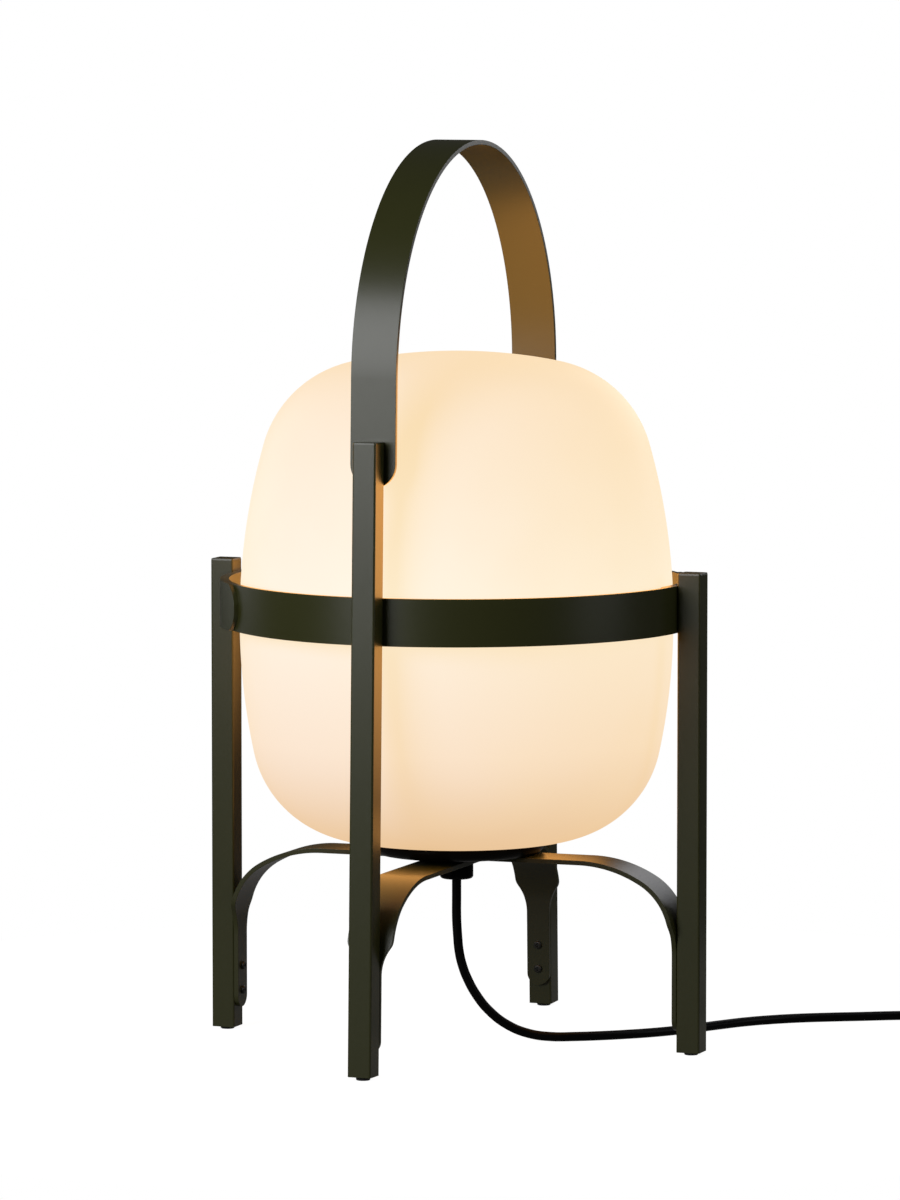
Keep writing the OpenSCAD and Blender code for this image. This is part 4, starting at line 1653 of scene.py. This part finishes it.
@dataclass
class CordSwitch:
    """The rocker switch in the cord: two moulded halves, a rocker and two strain reliefs."""

    place: Point3 = (347.0, 163.0, 0.0)
    angle: float = -25.0
    length: float = 62.0
    width: float = 24.0
    height: float = 16.0
    split_z: float = 7.0
    plan_r: float = 9.0
    low_r: float = 1.5
    end_r: float = 6.0
    side_r: float = 4.0
    seam_h: float = 0.25
    seam_share: Point2 = (0.994, 0.985)
    window: Point2 = (20.6, 11.6)
    window_corner: float = 0.6
    window_floor: float = 10.0
    window_lip: tuple[Point2, ...] = ((0.5, 0.0), (0.15, 0.15), (0.0, 0.5))
    pivot_z: float = 11.0
    pivot_r: float = 1.5
    pivot_half: float = 10.0
    tilt: float = 7.0
    rocker_gap: Point2 = (1.2, 0.4)
    rocker_low: float = -2.5
    rocker_taper: float = 2.0
    rocker_stand: float = 2.0
    rocker_side: float = 3.0
    rocker_edge: float = 0.5
    rocker_crease: float = 30.0
    dip_r: float = 40.0
    relief_from: float = 19.5
    relief_l: float = 20.0
    relief_r: float = 4.6
    relief_tip_r: float = 3.6
    relief_tip_edge: Point2 = (0.3, 0.15)
    groove_depth: float = 0.9
    groove_least: float = 0.55
    crease: float = 50.0
    screw_at: Point2 = (22.5, 7.8)
    screw_hole: tuple[Point2, ...] = ((2.8, -1.0), (2.8, 2.0))

    def at(self) -> Matrix:
        """The move from a shape about the switch's own middle to its place on the cord."""
        return shift(*self.place) @ turn(self.angle)

    def inset(self, z: float, top_r: float) -> float:
        """How far the wall draws in, for the round edges below and above.

        Args:
            z: The height.
            top_r: Radius of the upper edge.

        Returns:
            How far the wall lies inside the full outline.
        """
        if z < self.low_r:
            return self.low_r - math.sqrt(self.low_r ** 2 - (self.low_r - z) ** 2)
        rise = z - (self.height - top_r)
        return top_r - math.sqrt(max(0.0, top_r ** 2 - rise ** 2)) if rise > 0 else 0.0

    def outline(self, z: float) -> list[Point3]:
        """The switch's outline at a height.

        Args:
            z: The height.

        Returns:
            Its points.
        """
        end, side = self.inset(z, self.end_r), self.inset(z, self.side_r)
        half_x, half_y = self.length / 2 - end, self.width / 2 - side
        return level(rounded_square(half_x, half_y, self.plan_r - side, 8), z)

    def seam(self) -> list[Point3]:
        """The outline where the halves meet, drawn in so that a fine line shows."""
        share_x, share_y = self.seam_share
        return [(x * share_x, y * share_y, z) for x, y, z in self.outline(self.split_z)]

    def base(self) -> Form:
        """The lower half.

        Returns:
            The form, about the switch's own middle.
        """
        heights = [self.low_r * (1 - math.cos(math.radians(a))) for a in ramp(0, 90, 5)]
        heights.append(self.split_z - self.seam_h)
        return Form().loft([self.outline(z) for z in heights] + [self.seam()])

    def cover(self) -> Form:
        """The upper half, with the window that the rocker sits in.

        Returns:
            The form, about the switch's own middle.
        """
        edge_z = self.height - self.end_r
        heights = [self.split_z + self.seam_h, edge_z]
        heights += [edge_z + self.end_r * math.sin(math.radians(a)) for a in ramp(0, 90, 14)[1:]]
        rings = [self.seam()] + [self.outline(z) for z in heights]
        half_l, half_w = self.window[0] / 2, self.window[1] / 2
        lip = [(grow, self.height - drop) for grow, drop in self.window_lip]
        for grow, z in lip + [(0.0, self.window_floor)]:
            corner = self.window_corner + grow
            rings.append(level(rounded_square(half_l + grow, half_w + grow, corner, 8), z))
        return Form().loft(rings)

    def rocker(self) -> Form:
        """The rocker with its shallow finger dip, tilted as it rests.

        Returns:
            The rocker and its pin in their place.
        """
        half_l, half_w = self.window[0] / 2 - self.rocker_gap[0], self.window[1] / 2 - self.rocker_gap[1]
        crest = self.height - self.pivot_z + self.rocker_stand
        dip = self.dip_r - math.sqrt(self.dip_r ** 2 - half_l ** 2)
        swing = math.degrees(math.asin(half_l / self.dip_r))
        foot, shoulder = half_l - self.rocker_taper, crest - self.rocker_side
        side = [(-foot, self.rocker_low), (foot, self.rocker_low), (half_l, shoulder)]
        side += arc((0, crest - dip + self.dip_r), self.dip_r, swing - 90, -swing - 90, 16)
        side += [(-half_l, shoulder)]
        made = Form().loft([upright(side, -half_w), upright(side, half_w)])
        pin = [(self.pivot_r, -self.pivot_half), (self.pivot_r, self.pivot_half)]
        made.joined(Form().spun_solid(pin, 24).moved(turn(90, "X")))
        return made.moved(self.at() @ shift(0, 0, self.pivot_z) @ turn(self.tilt, "Y"))

    def relief(self) -> Form:
        """A strain relief: a ribbed cone that thins along the cord.

        Returns:
            The form, along +X from the switch's middle.
        """
        half, tip = self.length / 2, self.length / 2 + self.relief_l

        def cone(x: float) -> float:
            """Radius of the crests."""
            return self.relief_r + (self.relief_tip_r - self.relief_r) * (x - half) / self.relief_l

        ribs = Ribs(half, self.relief_l / Ribs.count, (0.08, 0.5), (0.62, 0.95), self.groove_depth,
                    self.relief_tip_r - self.groove_least)
        edge_r, edge_l = self.relief_tip_edge
        profile = [(self.relief_r, self.relief_from), (self.relief_r, half)] + ribs.profile(cone)
        profile += [(self.relief_tip_r, tip - edge_l), (self.relief_tip_r - edge_r, tip)]
        return Form().spun_solid(profile, 32).moved(turn(90, "Y"))

    def build(self) -> list[bpy.types.Object]:
        """Makes the switch.

        Returns:
            The pieces of it, which lie on the cord.
        """
        base = self.base().moved(self.at()).piece("switch_lower_half", MOULDED_PLASTIC, ["switch_base"])
        hole = Form().spun_solid(self.screw_hole, 32)
        for side in (-1, 1):
            x, y = (side * s for s in self.screw_at)
            drill(base, hole.moved(self.at() @ shift(x, y, 0)))
        cover = self.cover().moved(self.at()).piece("switch_upper_half", MOULDED_PLASTIC, ["switch_cover"])
        rocker = self.rocker().piece("switch_rocker_key", MOULDED_PLASTIC, ["switch_rocker"],
                                     Body.ROCKER, self.rocker_crease, self.rocker_edge)
        both = Form()
        for side in (0, 180):
            both.joined(self.relief().moved(self.at() @ shift(0, 0, self.split_z) @ turn(side)))
        reliefs = both.piece("switch_cord_reliefs", BLACK_RUBBER, ["switch_reliefs"], crease=self.crease)
        dress("switch_screws", NICKEL_PLATE)
        return [base, cover, rocker, reliefs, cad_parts["switch_screws"]]


@dataclass
class Plug:
    """The flat two-pin plug: a moulded body with a relief, sleeved pins with bare tips.

    body_stations holds places along the body, each with half of its width and of its height.
    """

    place: Point3 = (407.0, 30.0, 7.0)
    angle: float = 256.0
    body_stations: tuple[Point3, ...] = (
        (20.0, 4.9, 4.9), (22.0, 5.6, 5.3), (24.5, 7.4, 5.9), (27.5, 10.6, 6.4), (31.0, 14.2, 6.8),
        (35.0, 16.4, 7.0), (40.0, 16.9, 7.0), (45.0, 16.7, 7.0), (50.0, 15.5, 7.0), (54.0, 14.3, 6.9),
        (55.4, 13.8, 6.6), (56.0, 13.0, 5.9))
    body_corner: float = 4.8
    least_flat: float = 0.05
    face_x: float = 56.0
    relief_l: float = 22.0
    relief_r: float = 3.7
    relief_growth: float = 1.8
    relief_mouth: Point2 = (3.4, 0.3)
    relief_neck: Point2 = (5.4, 1.5)
    ribs_start: float = 0.5
    ribs_end: float = 3.0
    groove_depth: float = 0.8
    groove_r: float = 3.1
    pin_gap: float = 19.0
    pin_r: float = 2.0
    pin_l: float = 19.0
    pin_tip: float = 0.9
    sleeve_r: float = 1.85
    sleeve_l: float = 10.0
    sleeve_tip: float = 0.1
    tang_r: float = 1.6
    tang_l: float = 10.0
    tang_lap: float = 0.2
    crease: float = 50.0
    pin_crease: float = 40.0

    def at(self) -> Matrix:
        """The move from a shape along +X to the plug's place."""
        return shift(*self.place) @ turn(self.angle)

    def body(self) -> Form:
        """The body: it widens from the relief to the grip, then narrows to its face.

        Returns:
            The form, in the plug's own frame.
        """
        rings = []
        for x, half_y, half_z in self.body_stations:
            corner = min(self.body_corner, half_y - self.least_flat, half_z - self.least_flat)
            rings.append([(x, y, z) for y, z in rounded_square(half_y, half_z, corner, 7)])
        return Form().loft(rings)

    def relief(self) -> Form:
        """The ribbed relief between the cord and the body.

        Returns:
            The form, in the plug's own frame.
        """
        def cone(x: float) -> float:
            """Radius of the crests."""
            return self.relief_r + self.relief_growth * x / self.relief_l

        ribs = Ribs(self.ribs_start, (self.relief_l - self.ribs_end) / Ribs.count, (0.1, 0.55),
                    (0.68, 0.95), self.groove_depth, self.groove_r)
        mouth_r, mouth_l = self.relief_mouth
        neck_r, neck_l = self.relief_neck
        profile = [(mouth_r, 0.0), (self.relief_r, mouth_l)] + ribs.profile(cone)
        profile.append((neck_r, self.relief_l - neck_l))
        return Form().spun_solid(profile, 32).moved(turn(90, "Y"))

    def pins(self, radius: float, start: float, end: float, tip: float) -> Form:
        """Both pins, or a part of them.

        Args:
            radius: Radius of the part.
            start: Where it starts, from the plug's face.
            end: Where it ends.
            tip: How far its end is rounded.

        Returns:
            The form, in the plug's own frame.
        """
        made = Form()
        profile = [(radius, start)] + arc((radius - tip, end - tip), tip, 0, 85, 5)
        rod = Form().spun_solid(profile, 32).moved(turn(90, "Y"))
        for side in (-1, 1):
            made.joined(rod.moved(shift(self.face_x, side * self.pin_gap / 2)))
        return made

    def build(self) -> list[bpy.types.Object]:
        """Makes the plug.

        Returns:
            Its pieces.
        """
        whole = self.body().joined(self.relief()).moved(self.at())
        body = whole.piece("plug_moulding", MOULDED_PLASTIC, ["plug_body"], crease=self.crease)
        tips = self.pins(self.pin_r, self.sleeve_l, self.pin_l, self.pin_tip)
        tangs = self.pins(self.tang_r, -self.tang_l, self.sleeve_l + self.tang_lap, self.tang_lap)
        both = tips.joined(tangs).moved(self.at())
        pins = both.piece("plug_pin_pair", NICKEL_PLATE, ["plug_pins"], crease=self.pin_crease)
        sleeves = self.pins(self.sleeve_r, 0.0, self.sleeve_l, self.sleeve_tip).moved(self.at())
        return [body, pins, sleeves.piece("plug_pin_sleeves", MOULDED_PLASTIC)]


# ------------------------------------------------------------------ studio

@dataclass(frozen=True)
class SoftBox:
    """A rectangular soft box: its place, what it faces and its size in metres, and its watts."""

    name: str
    place: Point3
    aim: Point3
    size: Point2
    watts: float
    colour: Point3 = (0.98, 0.99, 1.04)

    def build(self) -> None:
        """Sets the box up."""
        lamp = bpy.data.lights.new(self.name, "AREA")
        lamp.shape, lamp.energy, lamp.color = "RECTANGLE", self.watts, self.colour
        lamp.size, lamp.size_y = self.size
        holder = stand(self.name, lamp)
        holder.location = self.place
        way = Vector(self.aim) - Vector(self.place)
        holder.rotation_euler = way.to_track_quat("-Z", "Y").to_euler()


# The key box's reflection runs down the handle and the posts. The others give the upper,
# rear and right-hand faces a little light of their own.
SOFT_BOXES = (
    SoftBox("key_box", (-0.50, -1.25, 0.80), (0.0, 0.0, 0.34), (0.8, 1.0), 20.0),
    SoftBox("top_box", (0.55, 0.15, 1.35), (0.05, 0.0, 0.15), (0.7, 0.7), 2.5),
    SoftBox("rear_box", (-1.35, 0.45, 0.70), (0.0, 0.0, 0.30), (0.8, 1.0), 3.2),
    SoftBox("back_box", (0.30, 1.40, 0.75), (0.05, 0.0, 0.15), (1.0, 0.6), 2.8),
    SoftBox("side_box", (1.40, 0.00, 0.70), (0.0, 0.0, 0.30), (0.7, 0.9), 4.0))


@dataclass
class Studio:
    """A plain white studio: a pale floor, a white screen behind, soft boxes and the camera.

    The camera's angles are degrees and its distances metres. Its focal length and shift are
    pixels of the photograph, which is picture_h pixels high. screen_from and screen_to are
    how nearly a direction points away from the camera at the edge of the screen.
    """

    azimuth: float = 20.3672
    elevation: float = 5.3177
    distance: float = 4.5635
    target_z: float = 0.28556
    picture_h: float = 1200.0
    focal_px: float = 7121.4163
    shift_px: float = -6.62
    far_clip: float = 100.0
    floor_r: float = 0.56
    floor_sides: int = 96
    floor_colour: str = "6e6e6c"
    floor_lift: float = 0.96
    mirror_share: float = 0.12
    room_light: float = 0.05
    screen_from: float = 0.9925
    screen_to: float = 0.9962

    def back(self) -> Vector:
        """The direction from the lamp to the camera."""
        ground_x, ground_y = polar(math.cos(math.radians(self.elevation)), self.azimuth - 90)
        return Vector((ground_x, ground_y, math.sin(math.radians(self.elevation))))

    def camera(self) -> None:
        """Sets the camera at the photograph's viewing angle and framing."""
        made = bpy.data.cameras.new("camera")
        made.lens = made.sensor_width * self.focal_px / self.picture_h
        made.shift_x = self.shift_px / self.picture_h
        made.clip_end = self.far_clip
        holder = stand("camera", made)
        holder.location = Vector((0, 0, self.target_z)) + self.distance * self.back()
        holder.rotation_euler = (-self.back()).to_track_quat("-Z", "Y").to_euler()
        bpy.context.scene.camera = holder

    def mirrored(self, tree: Tree, ray: bpy.types.NodeOutputs) -> Socket:
        """How white the background is in glass, 1, and in a reflection on paint, where it is dimmer.

        Args:
            tree: The node tree.
            ray: The Light Path node's outputs.

        Returns:
            The share of white, from 0 to 1.
        """
        glossy = add(tree, "ShaderNodeMath", {
            0: ray["Is Glossy Ray"], 1: self.mirror_share}, operation="MULTIPLY")
        return add(tree, "ShaderNodeMath", {
            0: ray["Is Transmission Ray"], 1: glossy.outputs[0]}, operation="MAXIMUM").outputs[0]

    def paint(self) -> bpy.types.Material:
        """The floor's matt paint, which lifts to white where nothing shades it.

        Returns:
            The material.
        """
        made = bpy.data.materials.new("pale_matt_floor")
        tree = fresh_tree(made)
        ray = add(tree, "ShaderNodeLightPath").outputs
        shown = add(tree, "ShaderNodeMath", {
            0: ray["Is Camera Ray"], 1: self.mirrored(tree, ray)}, operation="MAXIMUM")
        strength = add(tree, "ShaderNodeMath", {
            0: shown.outputs[0], 1: self.floor_lift}, operation="MULTIPLY")
        matt = add(tree, "ShaderNodeBsdfDiffuse", {"Color": linear(self.floor_colour)})
        lift = add(tree, "ShaderNodeEmission", {"Color": (1, 1, 1, 1), "Strength": strength.outputs[0]})
        whole = add(tree, "ShaderNodeAddShader", {0: matt.outputs[0], 1: lift.outputs[0]})
        add(tree, "ShaderNodeOutputMaterial", {"Surface": whole.outputs[0]})
        return made

    def floor(self) -> None:
        """Lays the round floor."""
        mesh = bpy.data.meshes.new("floor")
        rim = level((polar(self.floor_r, a) for a in ramp(0, 360, self.floor_sides)[:-1]), 0)
        mesh.from_pydata(rim, [], [tuple(range(self.floor_sides))])
        mesh.materials.append(self.paint())
        stand("floor", mesh)

    def world(self) -> None:
        """Sets up a dim room with a white screen behind the lamp, which metal and glass show too."""
        room = bpy.data.worlds.new("dim_room_with_white_screen")
        bpy.context.scene.world = room
        tree = fresh_tree(room)
        ray = add(tree, "ShaderNodeLightPath").outputs
        way = add(tree, "ShaderNodeTexCoord").outputs["Generated"]
        facing = add(tree, "ShaderNodeVectorMath", {0: way, 1: -self.back()}, operation="DOT_PRODUCT")
        screen = add(tree, "ShaderNodeMapRange", {
            "Value": facing.outputs["Value"], "From Min": self.screen_from, "From Max": self.screen_to})
        shown = add(tree, "ShaderNodeMath", {
            0: self.mirrored(tree, ray), 1: screen.outputs["Result"]}, operation="MULTIPLY")
        white = add(tree, "ShaderNodeMath", {
            0: ray["Is Camera Ray"], 1: shown.outputs[0]}, operation="MAXIMUM")
        light = add(tree, "ShaderNodeMapRange", {
            "Value": white.outputs[0], "To Min": self.room_light, "To Max": 1.0})
        glow = add(tree, "ShaderNodeBackground", {"Color": (1, 1, 1, 1), "Strength": light.outputs[0]})
        add(tree, "ShaderNodeOutputWorld", {"Surface": glow.outputs[0]})

    def build(self) -> None:
        """Sets up floor, surround and lights."""
        self.floor()
        self.world()
        for box in SOFT_BOXES:
            box.build()
        bpy.context.scene.view_settings.view_transform = "Standard"


def main() -> None:
    """Builds the studio and the lamp: the camera and the cord first, then the rest."""
    logging.basicConfig(level=logging.INFO, format="%(name)s %(message)s")
    sizes, strip, studio = Sizes(), FlatStrip(), Studio()
    studio.camera()
    MainsCord().build(CordSwitch(), Plug())
    studio.build()
    Posts(sizes).build()
    Handle(sizes, strip).build()
    Ring(sizes, strip).build()
    BaseStraps(sizes, strip).build()
    Screws(sizes).build()
    Globe().build()
    Fittings(sizes).build()


if __name__ == "__main__":
    main()
